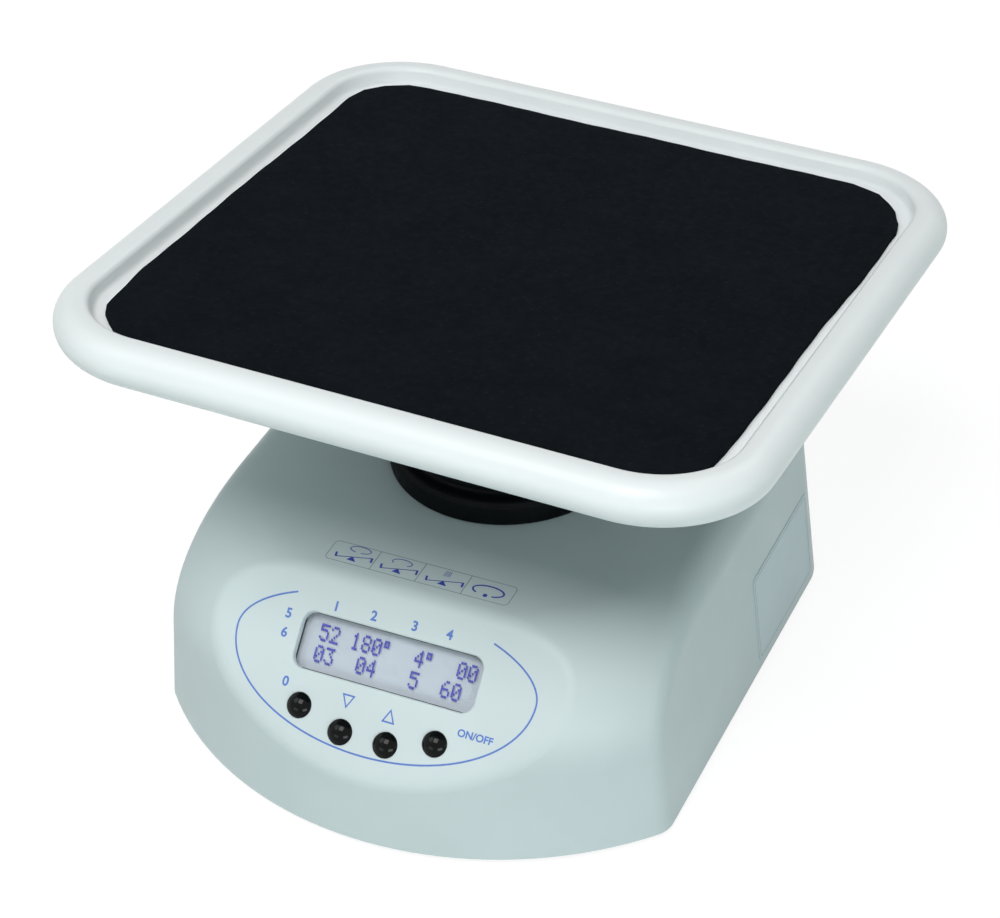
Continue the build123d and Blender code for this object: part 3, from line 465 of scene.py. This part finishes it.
label_line = plastic("side_plate_line", srgb(158, 172, 178), 0.35, grain=1.5, depth=0.01)

slots = {entry["node"]: entry["material_slot"] for entry in frame["record"]["subparts"]}
for node_name, piece in nodes.items():
    piece.data.materials.clear()
    piece.data.materials.append(SURFACES[slots[node_name]].material)


# The mat: a sheet of rubber cut by hand

MAT_HALF = 101.5
MAT_CORNER = 22
MAT_STEP = 3
MAT_SHRINK = 0.32
MAT_LOW = FLOOR_TOP
MAT_TOP = FLOOR_TOP + MAT_THICKNESS

# For each corner, its cuts: millimetres past the corner's start in x, and in from the edge in y
MAT_CUTS = [
    [(0, 0), (9, 1.2), (15.5, 4.6), (20, 9.5), (21.3, 15), (22, 22)],
    [(0, 0), (5, 1.2), (10.3, 3.1), (15.3, 7.6), (19.1, 12.7),
     (22.6, 20.2), (23.9, 26.5), (23.7, 60), (22.7, 93)],
    [(0, 0), (8, 1.2), (15.2, 6.0), (20.2, 12.6), (22, 21)],
    [(0, 0), (8.8, 0.2), (18.4, 10.1), (20.4, 14.6), (21, 20.6), (22.8, 40)],
]

# How the knife wandered: for each wave its depth, and its pace along x and y in radians per millimetre
MAT_WAVES = [(0.22, 0.11, 0.07), (0.10, 0.43, -0.31)]

# The share of the outline at each height, up the side and over the soft upper edge
MAT_LEVELS = [(1.0, MAT_LOW), (1.0, MAT_TOP - 0.35), (0.9985, MAT_TOP - 0.08), (0.995, MAT_TOP),
              (0.97, MAT_TOP), (0.9, MAT_TOP)]


def mat_corner(side_x, side_y, cuts):
    """One corner's points, in order round the mat."""
    start = MAT_HALF - MAT_CORNER
    spots = [(side_x * (start + along), side_y * (MAT_HALF - across)) for along, across in cuts]
    return spots if side_x * side_y < 0 else spots[::-1]


def wandering(x, y):
    wave = sum(depth * math.sin(x * pace_x + y * pace_y) for depth, pace_x, pace_y in MAT_WAVES)
    grow = 1 + (wave - MAT_SHRINK) / MAT_HALF
    return (x * grow, y * grow)


def mat_outline():
    """The cut line: nearly straight sides, and corners taken off in a few short cuts."""
    line = []
    for (side_x, side_y, _), cuts in zip(CORNERS, MAT_CUTS):
        line += mat_corner(side_x, side_y, cuts)
    dense = []
    for spot, following in zip(line, line[1:] + line[:1]):
        steps = max(1, round(math.dist(spot, following) / MAT_STEP))
        for step in range(steps):
            t = step / steps
            x = spot[0] + (following[0] - spot[0]) * t
            y = spot[1] + (following[1] - spot[1]) * t
            dense.append(wandering(x, y))
    return dense


def make_mat():
    line = mat_outline()
    count = len(line)
    turn = leaning()
    verts = []
    for share, height in MAT_LEVELS:
        z = (TRAY_RISE + height) * MM
        verts += [turn @ Vector((x * share * MM, y * share * MM, z)) for x, y in line]
    underside = tuple(range(count))
    upper_side = tuple(range(len(verts) - count, len(verts)))
    faces = [underside] + skin(len(MAT_LEVELS), count) + [upper_side]
    made = mesh_object("cut_mat", verts, faces, SURFACES["mat_rubber"].material)
    smooth_by_angle(made, degrees=30)
    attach(made, "platform")
    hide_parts("tray_mat")


make_mat()


# The tray's rim: round outside as in the part, with a shoulder, a steep inner side and a cove

RIM_CENTRE = 110.0
RIM_BEND = 31.0
RIM_STEPS = 28
BEAD_RADIUS = 7.48
BEAD_WALL = 2.5
BEAD_STEPS = 24
SHOULDER_RADIUS = 2.6
SHOULDER_IN = 1.5
SHOULDER_END = 156
SHOULDER_STEPS = 8
COVE_STEPS = 6

# Outward and upward from the bead's centre: the cove's curve, then the lip on the tray's edge and back inside
COVE_TOP = Vector((-4.35, 3.6))
COVE_BEND = Vector((-4.6, 2.1))
COVE_END = Vector((-6.0, 2.04))
LIP = [(-6.6, 2.02), (-6.25, 1.9), (-6.25, -0.5), (-4.9, -0.5)]
INSIDE_WALL = [(-4.4, 0.2), (-2.7, 1.2), (-2.1, 3.0)]
INSIDE_START = 105


def cove():
    line = []
    for step in range(COVE_STEPS + 1):
        t = step / COVE_STEPS
        line.append(tuple(COVE_TOP * (1 - t) ** 2 + COVE_BEND * 2 * t * (1 - t) + COVE_END * t ** 2))
    return line


def rim_profile():
    """Outward and upward from the bead's centre, once round the hooked section."""
    inside = BEAD_RADIUS - BEAD_WALL
    line = ellipse(0, 0, BEAD_RADIUS, BEAD_RADIUS, -90, 90, BEAD_STEPS)
    line += ellipse(-SHOULDER_IN, BEAD_RADIUS - SHOULDER_RADIUS, SHOULDER_RADIUS, SHOULDER_RADIUS,
                    90, SHOULDER_END, SHOULDER_STEPS)
    line += cove() + LIP + INSIDE_WALL
    line += ellipse(0, 0, inside, inside, INSIDE_START, -90, BEAD_STEPS)
    return line


def make_rim():
    section = rim_profile()
    turn = leaning()
    bend_at = RIM_CENTRE - RIM_BEND
    verts = []
    for side_x, side_y, start in CORNERS:
        for step in range(RIM_STEPS + 1):
            angle = math.radians(start + 90 * step / RIM_STEPS)
            for out, rise in section:
                x = side_x * bend_at + (RIM_BEND + out) * math.cos(angle)
                y = side_y * bend_at + (RIM_BEND + out) * math.sin(angle)
                verts.append(turn @ (Vector((x, y, TRAY_RISE + rise)) * MM))
    stations = len(CORNERS) * (RIM_STEPS + 1)
    faces = skin(stations, len(section), closed=True)
    made = mesh_object("rim_bead", verts, faces, SURFACES["tray_shell"].material)
    smooth_by_angle(made, degrees=35)
    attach(made, "platform")
    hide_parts("tray_rim")


make_rim()


# The ribbed boot, drawn bent to the leaning hub

BOOT_RIBS = 5
BOOT_AROUND = 144
BOOT_WALL = 1.6
SKIRT_RADIUS = 39.7
SKIRT_TOP = 76.8 - PIVOT_HEIGHT
SKIRT_TURN_IN = 0.5
CUFF_LOW = 47.7
CUFF_TOP = 54.7
CUFF_RADIUS = 28.7
CUFF_BORE = 27.15
CUFF_EDGE = 0.4

# How far the ribs' crests stay out from the cuff at the top, and how far below the cuff their inside ends
LAST_CREST = 2
INSIDE_END = 1

# Each rib: where its groove and its crest come, as shares of the pitch, and the groove's depth
GROOVE_AT = 0.35
CREST_AT = 0.82
GROOVE_DEPTH = 4.0
RIB_STEPS = 8
RIB_BULGE = 0.12

# The foot's outside and the end of the inside, as height above the table and radius
FOOT_LINE = [(64.8, 36.0), (64.8, 39.2), (65.1, 39.6), (66.5, 39.6), (66.8, 39.2), (66.8, 37.4),
             (69.3, 37.4), (69.3, 39.3), (69.6, 39.7), (71.0, 39.7), (76.0, 39.7), (76.6, 39.5)]
FOOT_INSIDE = [(70.9, SKIRT_RADIUS - BOOT_WALL), (69.3, 36.0)]


def above_pivot(line):
    return [(height - PIVOT_HEIGHT, radius) for height, radius in line]


def rib_line():
    """Height above the pivot and radius of the ribs' outside, rounded from groove to crest."""
    pitch = (CUFF_LOW - SKIRT_TOP) / BOOT_RIBS
    anchors = [(SKIRT_TOP, SKIRT_RADIUS - SKIRT_TURN_IN)]
    for rib in range(BOOT_RIBS):
        for part, depth in ((GROOVE_AT, GROOVE_DEPTH), (CREST_AT, 0)):
            way = (rib + part) / BOOT_RIBS
            crest = SKIRT_RADIUS + (CUFF_RADIUS + LAST_CREST - SKIRT_RADIUS) * way
            anchors.append((SKIRT_TOP + pitch * (rib + part), crest - depth))
    anchors.append((CUFF_LOW, CUFF_RADIUS))
    line = []
    for (low, inner), (high, outer) in zip(anchors, anchors[1:]):
        for step in range(RIB_STEPS):
            t = step / RIB_STEPS
            ease = (1 - math.cos(math.pi * t)) / 2
            rise = t + RIB_BULGE * math.sin(math.tau * t)
            line.append((low + (high - low) * rise, inner + (outer - inner) * ease))
    line.append((CUFF_LOW, CUFF_RADIUS))
    return line


def boot_section():
    """Height above the pivot and radius, once round the boot's wall."""
    ribs = rib_line()
    cuff = [(CUFF_LOW + CUFF_EDGE, CUFF_RADIUS), (CUFF_TOP - CUFF_EDGE, CUFF_RADIUS),
            (CUFF_TOP, CUFF_RADIUS - CUFF_EDGE), (CUFF_TOP, CUFF_BORE), (CUFF_LOW, CUFF_BORE)]
    inside = [(height, radius - BOOT_WALL) for height, radius in reversed(ribs)
              if height < CUFF_LOW - INSIDE_END]
    return above_pivot(FOOT_LINE) + ribs + cuff + inside + above_pivot(FOOT_INSIDE)


def make_boot():
    section = boot_section()
    verts = []
    for height, radius in section:
        share = min(1.0, max(0.0, (height - SKIRT_TOP) / (CUFF_LOW - SKIRT_TOP)))
        turn = leaning(share)
        for i in range(BOOT_AROUND):
            angle = math.tau * i / BOOT_AROUND
            spot = Vector((radius * math.cos(angle), radius * math.sin(angle), height))
            verts.append(turn @ (spot * MM))
    faces = skin(len(section), BOOT_AROUND, closed=True)
    made = mesh_object("ribbed_boot", verts, faces, SURFACES["boot_rubber"].material)
    smooth_by_angle(made, degrees=50)
    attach(made, "rotor")
    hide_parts("drive_boot")


make_boot()


# What is printed on the panel

OVAL_X = -0.6
OVAL_V = -1.0
OVAL_HALF_WIDTH = 52.1
OVAL_RISE = 20.0
OVAL_DROP = 29.6
OVAL_FIRST = 132
OVAL_LAST = 410
OVAL_END_STEPS = 40
OVAL_LOW_STEPS = 120
OVAL_LINE = 0.58
ARROW_SIZE = 4.6
ARROW_LINE = 1.0
DOWN_ARROW = (-9.2, -15.4)
UP_ARROW = (5.8, -16.1)
FIGURE_SIZE = 4.4
KEY_WORD_SIZE = 3.3
KEY_WORD_AT = (35.0, -15.2)
LETTER_WEIGHT = 0.03
LETTER_STEPS = 4

# Each figure, with its place right of the panel's middle and up its slope
FIGURES = [
    ("1", -21.4, 12.4), ("2", -8.2, 12.6), ("3", 6.0, 12.9), ("4", 18.0, 13.2),
    ("5", -36.6, 6.4), ("6", -36.4, 0.2), ("0", -31.4, -14.6),
]


def printed(name, parts, place, material):
    """Flat shapes laid on the housing by place(x, y), as one piece of ink."""
    verts, faces = gather(parts)
    made = mesh_object(name, [place(v[0], v[1]) for v in verts], faces, material, smooth=False)
    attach(made, "base")


def oval_line():
    """The open oval, flatter above its middle than below it."""
    def arc(height, start, end, count):
        return ellipse(OVAL_X, OVAL_V, OVAL_HALF_WIDTH, height, start, end, count)
    left_end = arc(OVAL_RISE, OVAL_FIRST, 180, OVAL_END_STEPS)
    low_side = arc(OVAL_DROP, 180, 360, OVAL_LOW_STEPS)
    right_end = arc(OVAL_RISE, 360, OVAL_LAST, OVAL_END_STEPS)
    return left_end + low_side[1:] + right_end[1:]


def lettering(text, size, x, v, name, body):
    """Plain figures from Blender's own font, laid flat on the panel."""
    curve = bpy.data.curves.new(name, "FONT")
    curve.body = text
    curve.size = size
    curve.align_x = "CENTER"
    curve.align_y = "CENTER"
    curve.resolution_u = LETTER_STEPS
    curve.offset = size * LETTER_WEIGHT
    made = bpy.data.objects.new(name + "_outline", curve)
    bpy.context.scene.collection.objects.link(made)
    bpy.context.view_layer.update()
    flat = bpy.data.meshes.new_from_object(made.evaluated_get(bpy.context.evaluated_depsgraph_get()))
    verts = [on_panel(x + p.co.x, v + p.co.y) for p in flat.vertices]
    faces = [tuple(face.vertices) for face in flat.polygons]
    bpy.data.objects.remove(made)
    letter = mesh_object(name, verts, faces, ink.material, smooth=False)
    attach(letter, body)


def print_panel():
    printed("printed_oval", [ribbon(oval_line(), OVAL_LINE)], on_panel, ink.material)
    down = outlined(triangle(*DOWN_ARROW, ARROW_SIZE, -1), ARROW_LINE)
    up = outlined(triangle(*UP_ARROW, ARROW_SIZE, 1), ARROW_LINE)
    printed("printed_arrows", [down, up], on_panel, ink.material)
    for figure, x, v in FIGURES:
        lettering(figure, FIGURE_SIZE, x, v, "printed_figure_" + figure, "base")
    lettering("ON/OFF", KEY_WORD_SIZE, *KEY_WORD_AT, "printed_on_off", "base")


print_panel()


# The four boxes with symbols on the housing's top

BOXES_HALF = 32.0
BOXES_LOW = -72.6
BOXES_HIGH = -63.3
BOXES_CORNER = 1.6
BOX_WIDTH = BOXES_HALF / 2
BOX_MIDDLE = (BOXES_LOW + BOXES_HIGH) / 2
BOX_LINE = 0.26
DIVIDER_LINE = 0.3
FINE_LINE = 0.34
END_LINE = 0.7
RING_LINE = 0.6
SHORT_LINE = 0.2

# The seesaw's place in its box, and the four strokes over the third one
SEESAW_RIGHT = 0.9
SEESAW_DOWN = 1.1
STROKES_AT = 7.5
STROKES_PITCH = 0.6
STROKES_LOW = 1.2
STROKES_HIGH = 3.8
STROKES_LEAN = 0.1


def seesaw(x, y):
    """A leaning tray, one end turned up and one down, on a pivot."""
    bar = ribbon([(x - 5.9, y - 1.5), (x + 5.9, y + 1.5)], FINE_LINE)
    up_end = ribbon([(x - 5.8, y - 1.6), (x - 6.3, y + 0.5)], END_LINE)
    down_end = ribbon([(x + 5.8, y + 1.6), (x + 6.2, y - 0.6)], END_LINE)
    foot = [Vector((x - 1.9, y - 1.8)), Vector((x + 1.5, y - 2.1)), Vector((x - 0.4, y + 0.1))]
    return [bar, up_end, down_end, (foot, [(0, 1, 2)])]


def box_lines():
    frame_line = rounded(-BOXES_HALF, BOXES_HALF, BOXES_LOW, BOXES_HIGH, BOXES_CORNER)[:-1]
    lines = [ribbon(frame_line, BOX_LINE, closed=True)]
    for i in range(1, 4):
        x = BOX_WIDTH * i - BOXES_HALF
        lines.append(ribbon([(x, BOXES_LOW), (x, BOXES_HIGH)], DIVIDER_LINE))
    return lines


def ring_mark(x, up, half_width, half_depth, start, end, count, width):
    """An open ring, right of the housing's middle and up from the middle of the boxes."""
    return ribbon(ellipse(x, BOX_MIDDLE + up, half_width, half_depth, start, end, count), width)


def symbol_marks():
    """Three seesaws, with open rings over two and four strokes over the third, and a ring with a dot."""
    marks = []
    for i in range(3):
        marks += seesaw(BOX_WIDTH * (i + 0.5) - BOXES_HALF + SEESAW_RIGHT, BOX_MIDDLE - SEESAW_DOWN)
    marks.append(ring_mark(-22.5, 2.8, 3.6, 1.5, -80, 250, 40, FINE_LINE))
    marks.append(ring_mark(-7.4, 2.1, 3.4, 1.5, -50, 215, 40, FINE_LINE))
    for i in range(4):
        x = STROKES_AT + STROKES_PITCH * i
        stroke = [(x, BOX_MIDDLE + STROKES_LOW), (x + STROKES_LEAN, BOX_MIDDLE + STROKES_HIGH)]
        marks.append(ribbon(stroke, SHORT_LINE))
    marks.append(ring_mark(23.8, -0.3, 5.3, 2.3, -68, 228, 48, RING_LINE))
    marks.append(disc(23.6, BOX_MIDDLE - 2.5, 0.75))
    return marks


printed("symbol_boxes", box_lines(), on_top, pale_ink.material)
printed("symbols", symbol_marks(), on_top, dark_ink.material)


# The display: two rows of dot characters, with a 1 in a pattern for each dot that shows

GLYPHS = {
    "0": "01110 10001 10011 10101 11001 10001 01110",
    "1": "00100 01100 00100 00100 00100 00100 01110",
    "2": "01110 10001 00001 00010 00100 01000 11111",
    "3": "11111 00010 00100 00010 00001 10001 01110",
    "4": "00010 00110 01010 10010 11111 00010 00010",
    "5": "11111 10000 11110 00001 00001 10001 01110",
    "6": "00110 01000 10000 11110 10001 10001 01110",
    "8": "01110 10001 10001 01110 10001 10001 01110",
    "*": "11100 10100 11100 00000 00000 00000 00000",
    " ": "00000 00000 00000 00000 00000 00000 00000",
}
ROWS = [" 52 180*  4*  00", " 03  04   5  60 "]
GLYPH_COLUMNS = 5
GLYPH_LINES = 7
PITCH_X = 3.71
PITCH_Y = 6.95
DOT_X = 0.61
DOT_Y = 0.79
DOT_GAP = 0.02
DISPLAY_SHIFT = -0.6
GLASS_DEPTH = -4.18


def dot_corners(left, top):
    right = left + DOT_X - DOT_GAP
    low = top - DOT_Y + DOT_GAP
    corners = [(left, top), (right, top), (right, low), (left, low)]
    return [panel_point(x, v, GLASS_DEPTH) for x, v in corners]


def make_display_dots():
    verts = []
    side_gap = (PITCH_X - GLYPH_COLUMNS * DOT_X) / 2
    for row, text in enumerate(ROWS):
        top = (0.5 - row) * PITCH_Y + GLYPH_LINES * DOT_Y / 2
        for column, sign in enumerate(text):
            left = (column - len(text) / 2) * PITCH_X + side_gap + DISPLAY_SHIFT
            for y, line in enumerate(GLYPHS[sign].split()):
                for x, dot in enumerate(line):
                    if dot == "1":
                        verts += dot_corners(left + x * DOT_X, top - y * DOT_Y)
    faces = [tuple(range(i, i + 4)) for i in range(0, len(verts), 4)]
    made = mesh_object("display_dots", verts, faces, dots_ink.material, smooth=False)
    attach(made, "base")


make_display_dots()


# The bare plate on the right wall

PLATE_FRONT = 0
PLATE_BACK = 50.8
PLATE_LOW = 5.2
PLATE_HIGH = 39.5
PLATE_CORNER = 1.5
PLATE_SUNK = -0.05
PLATE_OUT = 0.24
LINE_OUT = 0.28
LINE_IN = 1.2
LINE_CORNER = 1.0
LINE_WIDTH = 0.3


def wall_point(y, z, out):
    """A place on the drafted right wall, moved out from it, in millimetres."""
    return Vector((HALF_WIDTH - (z - FLOOR_GAP) * math.tan(DRAFT) + out, y, z)) * MM


def make_side_plate():
    line = rounded(PLATE_FRONT, PLATE_BACK, PLATE_LOW, PLATE_HIGH, PLATE_CORNER)
    count = len(line)
    verts = [wall_point(y, z, out) for out in (PLATE_SUNK, PLATE_OUT) for y, z in line]
    faces = skin(2, count) + [tuple(range(count, 2 * count))]
    made = mesh_object("side_plate", verts, faces, label.material, smooth=False)
    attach(made, "base")


def make_plate_line():
    line = rounded(PLATE_FRONT + LINE_IN, PLATE_BACK - LINE_IN,
                   PLATE_LOW + LINE_IN, PLATE_HIGH - LINE_IN, LINE_CORNER)
    flat, faces = ribbon(line, LINE_WIDTH, closed=True)
    verts = [wall_point(v[0], v[1], LINE_OUT) for v in flat]
    made = mesh_object("side_plate_line", verts, faces, label_line.material, smooth=False)
    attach(made, "base")


make_side_plate()
make_plate_line()


# The marks on the rear rocker

MARK_OFFSET = 4.6
STROKE_HALF = 1.6
STROKE_LINE = 0.5
CIRCLE_RADIUS = 1.5
CIRCLE_LINE = 0.45
CIRCLE_STEPS = 24
ROCKER_RAY_START = 5 * MM


def make_rocker_marks():
    """A stroke and a circle, laid on the rocker by rays from behind it."""
    low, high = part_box("power_rocker")
    middle_x = (low[0] + high[0]) / 2
    middle_z = (low[2] + high[2]) / 2
    out = Vector((0, math.cos(DRAFT), math.sin(DRAFT)))
    rocker = surface_of("power_rocker")
    stroke = ribbon([(0, -STROKE_HALF), (0, STROKE_HALF)], STROKE_LINE)
    spots = ellipse(0, 0, CIRCLE_RADIUS, CIRCLE_RADIUS, 0, 360, CIRCLE_STEPS)[:-1]
    circle = ribbon(spots, CIRCLE_LINE, closed=True)
    marks = [("rocker_mark_on", stroke, MARK_OFFSET), ("rocker_mark_off", circle, -MARK_OFFSET)]
    for name, flat, offset in marks:
        verts = []
        for v in flat[0]:
            point = Vector((middle_x - (v[0] + offset) * MM, high[1], middle_z + v[1] * MM))
            point += out * ROCKER_RAY_START
            hit = rocker.ray_cast(point, FORWARD)
            spot = hit[0] if hit[0] is not None else point
            verts.append(spot + out * INK_LIFT)
        made = mesh_object(name, verts, flat[1], white_ink.material, smooth=False)
        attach(made, "rocker")


make_rocker_marks()


# The cross recesses of the screws under the base, drawn as flat dark crosses: painted shade in place of
# hollows

CROSS_REACH = 1.35
CROSS_LINE = 0.55
CROSS_LIFT = 0.02
CROSS_STEP = 0.004

# How the first screw stands and how much further each next one is turned, in degrees
FIRST_TURN = 20
NEXT_TURN = 37


def islands(piece):
    """The centre and the lowest height of each loose part of a mesh."""
    shape = bmesh.new()
    shape.from_mesh(piece.data)
    left = set(shape.verts)
    found = []
    while left:
        group = [left.pop()]
        for vert in group:
            for edge in vert.link_edges:
                other = edge.other_vert(vert)
                if other in left:
                    left.remove(other)
                    group.append(other)
        xs = [v.co.x for v in group]
        ys = [v.co.y for v in group]
        found.append(((min(xs) + max(xs)) / 2, (min(ys) + max(ys)) / 2, min(v.co.z for v in group)))
    shape.free()
    return sorted(found)


def make_recess_shades(node_name):
    """A flat dark cross of painted shade for the recess under each screw head, each screw turned differently,
    with one bar just over the other.
    """
    parts = []
    heights = []
    for count, (x, y, low) in enumerate(islands(nodes[node_name])):
        centre = Vector((x, y)) / MM
        for bar in range(2):
            angle = math.radians(FIRST_TURN + NEXT_TURN * count + 90 * bar)
            reach = Vector((math.cos(angle), math.sin(angle))) * CROSS_REACH
            parts.append(ribbon([tuple(centre - reach), tuple(centre + reach)], CROSS_LINE))
            heights += [low - (CROSS_LIFT + CROSS_STEP * bar) * MM] * len(parts[-1][0])
    verts, faces = gather(parts)
    placed = [Vector((v[0] * MM, v[1] * MM, z)) for v, z in zip(verts, heights)]
    made = mesh_object(node_name + "_recess_shades", placed, faces, recess_shade.material, smooth=False)
    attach(made, "base")


make_recess_shades("case_screws")
make_recess_shades("standoff_screws")


# The edges that stay sharp, by the angle between their faces in degrees

SHARP = {
    "housing": 24, "tray": 30, "power_rocker": 30, "hub": 30, "spindle": 30,
    "select_key": 40, "down_key": 40, "up_key": 40, "run_stop_key": 40,
}
for node_name, angle in SHARP.items():
    nodes[node_name].data.set_sharp_from_angle(angle=math.radians(angle))


# The camera, as solved from the photo: its place in metres, its lens and sensor in millimetres

CAMERA_AT = Vector((0.33793, -0.69490, 0.66821))
CAMERA_VIEW = Vector((-0.34775, 0.70781, -0.61488)).normalized()
CAMERA_UP = Vector((-0.22735, 0.57258, 0.78770))
CAMERA_LENS = 105.695
CAMERA_SENSOR = 36
NEAREST = 0.05
FARTHEST = 20


def make_camera():
    data = bpy.data.cameras.new("camera")
    data.sensor_width = CAMERA_SENSOR
    data.lens = CAMERA_LENS
    data.clip_start = NEAREST
    data.clip_end = FARTHEST
    camera = bpy.data.objects.new("camera", data)
    bpy.context.scene.collection.objects.link(camera)
    right = CAMERA_VIEW.cross(CAMERA_UP).normalized()
    turn = Matrix((right, right.cross(CAMERA_VIEW), -CAMERA_VIEW)).transposed().to_4x4()
    camera.matrix_world = Matrix.Translation(CAMERA_AT) @ turn
    bpy.context.scene.camera = camera


make_camera()


# The lamps, all turned to the object

LAMP_TARGET = Vector((0, 0, 0.08))
LAMP_WIDTH = 0.9

# For each lamp its name, its place and the height of its face in metres, its power in watts and its colour
LAMPS = [
    ("top_softbox", (0.0, -0.73, 1.72), 0.9, 19.8, (1.0, 0.985, 0.985)),
    ("left_softbox", (-1.0, -0.58, 1.46), 0.9, 6.2, (0.84, 1.0, 0.98)),
    ("low_right_softbox", (1.15, -1.37, 0.33), 0.5, 9.0, (0.92, 1.0, 1.0)),
    ("low_left_softbox", (-0.6, -1.68, 0.33), 0.5, 2.8, (0.95, 1.0, 1.0)),
    ("right_softbox", (1.76, 0.0, 0.45), 0.5, 3.8, (0.84, 1.0, 0.99)),
    ("rear_softbox", (0.3, 1.27, 1.35), 0.9, 5.5, (0.96, 1.0, 1.0)),
]


def make_lamp(name, place, height, power, colour):
    data = bpy.data.lights.new(name, "AREA")
    data.shape = "RECTANGLE"
    data.size = LAMP_WIDTH
    data.size_y = height
    data.energy = power
    data.color = colour
    made = bpy.data.objects.new(name, data)
    made.location = place
    made.rotation_euler = (LAMP_TARGET - Vector(place)).to_track_quat("-Z", "Y").to_euler()
    bpy.context.scene.collection.objects.link(made)


for lamp in LAMPS:
    make_lamp(*lamp)


# The pale background: the world, and a floor that keeps the object's shadow

WORLD_LIGHT = 0.02
WORLD_SHOWN = 1.0
FLOOR_SIZE = 12
FLOOR_BELOW = 0.02 * MM
FLOOR_LIT = (0.46, 0.54, 0.52, 1)
FLOOR_SHOWN = (0.93, 0.93, 0.93, 1)
GLOW = 1.12
GLOW_SHARE = 0.8


def shown_rays(tree):
    """1 for the rays that see the background: straight, mirrored or through glass."""
    path = tree.nodes.new("ShaderNodeLightPath")
    total = path.outputs["Is Camera Ray"]
    for name in ("Is Glossy Ray", "Is Transmission Ray"):
        either = tree.nodes.new("ShaderNodeMath")
        either.operation = "MAXIMUM"
        tree.links.new(total, either.inputs[0])
        tree.links.new(path.outputs[name], either.inputs[1])
        total = either.outputs[0]
    return total


def make_world():
    world = bpy.data.worlds.new("studio")
    bpy.context.scene.world = world
    world.use_nodes = True
    sky = world.node_tree
    background = sky.nodes["Background"]
    level = sky.nodes.new("ShaderNodeMapRange")
    level.inputs["To Min"].default_value = WORLD_LIGHT
    level.inputs["To Max"].default_value = WORLD_SHOWN
    sky.links.new(shown_rays(sky), level.inputs["Value"])
    background.inputs["Color"].default_value = (1, 1, 1, 1)
    sky.links.new(level.outputs["Result"], background.inputs["Strength"])


def floor_surface():
    """A floor of muted colour to the light, and nearly white with some glow to the rays that show it."""
    ground = Surface("floor", FLOOR_SHOWN[:3], 0.9)
    shown = shown_rays(ground.tree)
    ground.blend(shown, FLOOR_LIT, FLOOR_SHOWN)
    glow = ground.node("ShaderNodeEmission")
    glow.inputs["Strength"].default_value = GLOW
    share = ground.node("ShaderNodeMath", operation="MULTIPLY")
    share.inputs[1].default_value = GLOW_SHARE
    ground.link(shown, share.inputs[0])
    mixed = ground.node("ShaderNodeMixShader")
    ground.link(share.outputs[0], mixed.inputs[0])
    ground.link(ground.shader.outputs[0], mixed.inputs[1])
    ground.link(glow.outputs[0], mixed.inputs[2])
    ground.link(mixed.outputs[0], ground.out.inputs[0])
    return ground.material


make_world()
bpy.ops.mesh.primitive_plane_add(size=FLOOR_SIZE, location=(0, 0, -FLOOR_BELOW))
floor = bpy.context.object
floor.name = "floor"
floor.data.materials.append(floor_surface())

bpy.context.scene.view_settings.view_transform = "Standard"
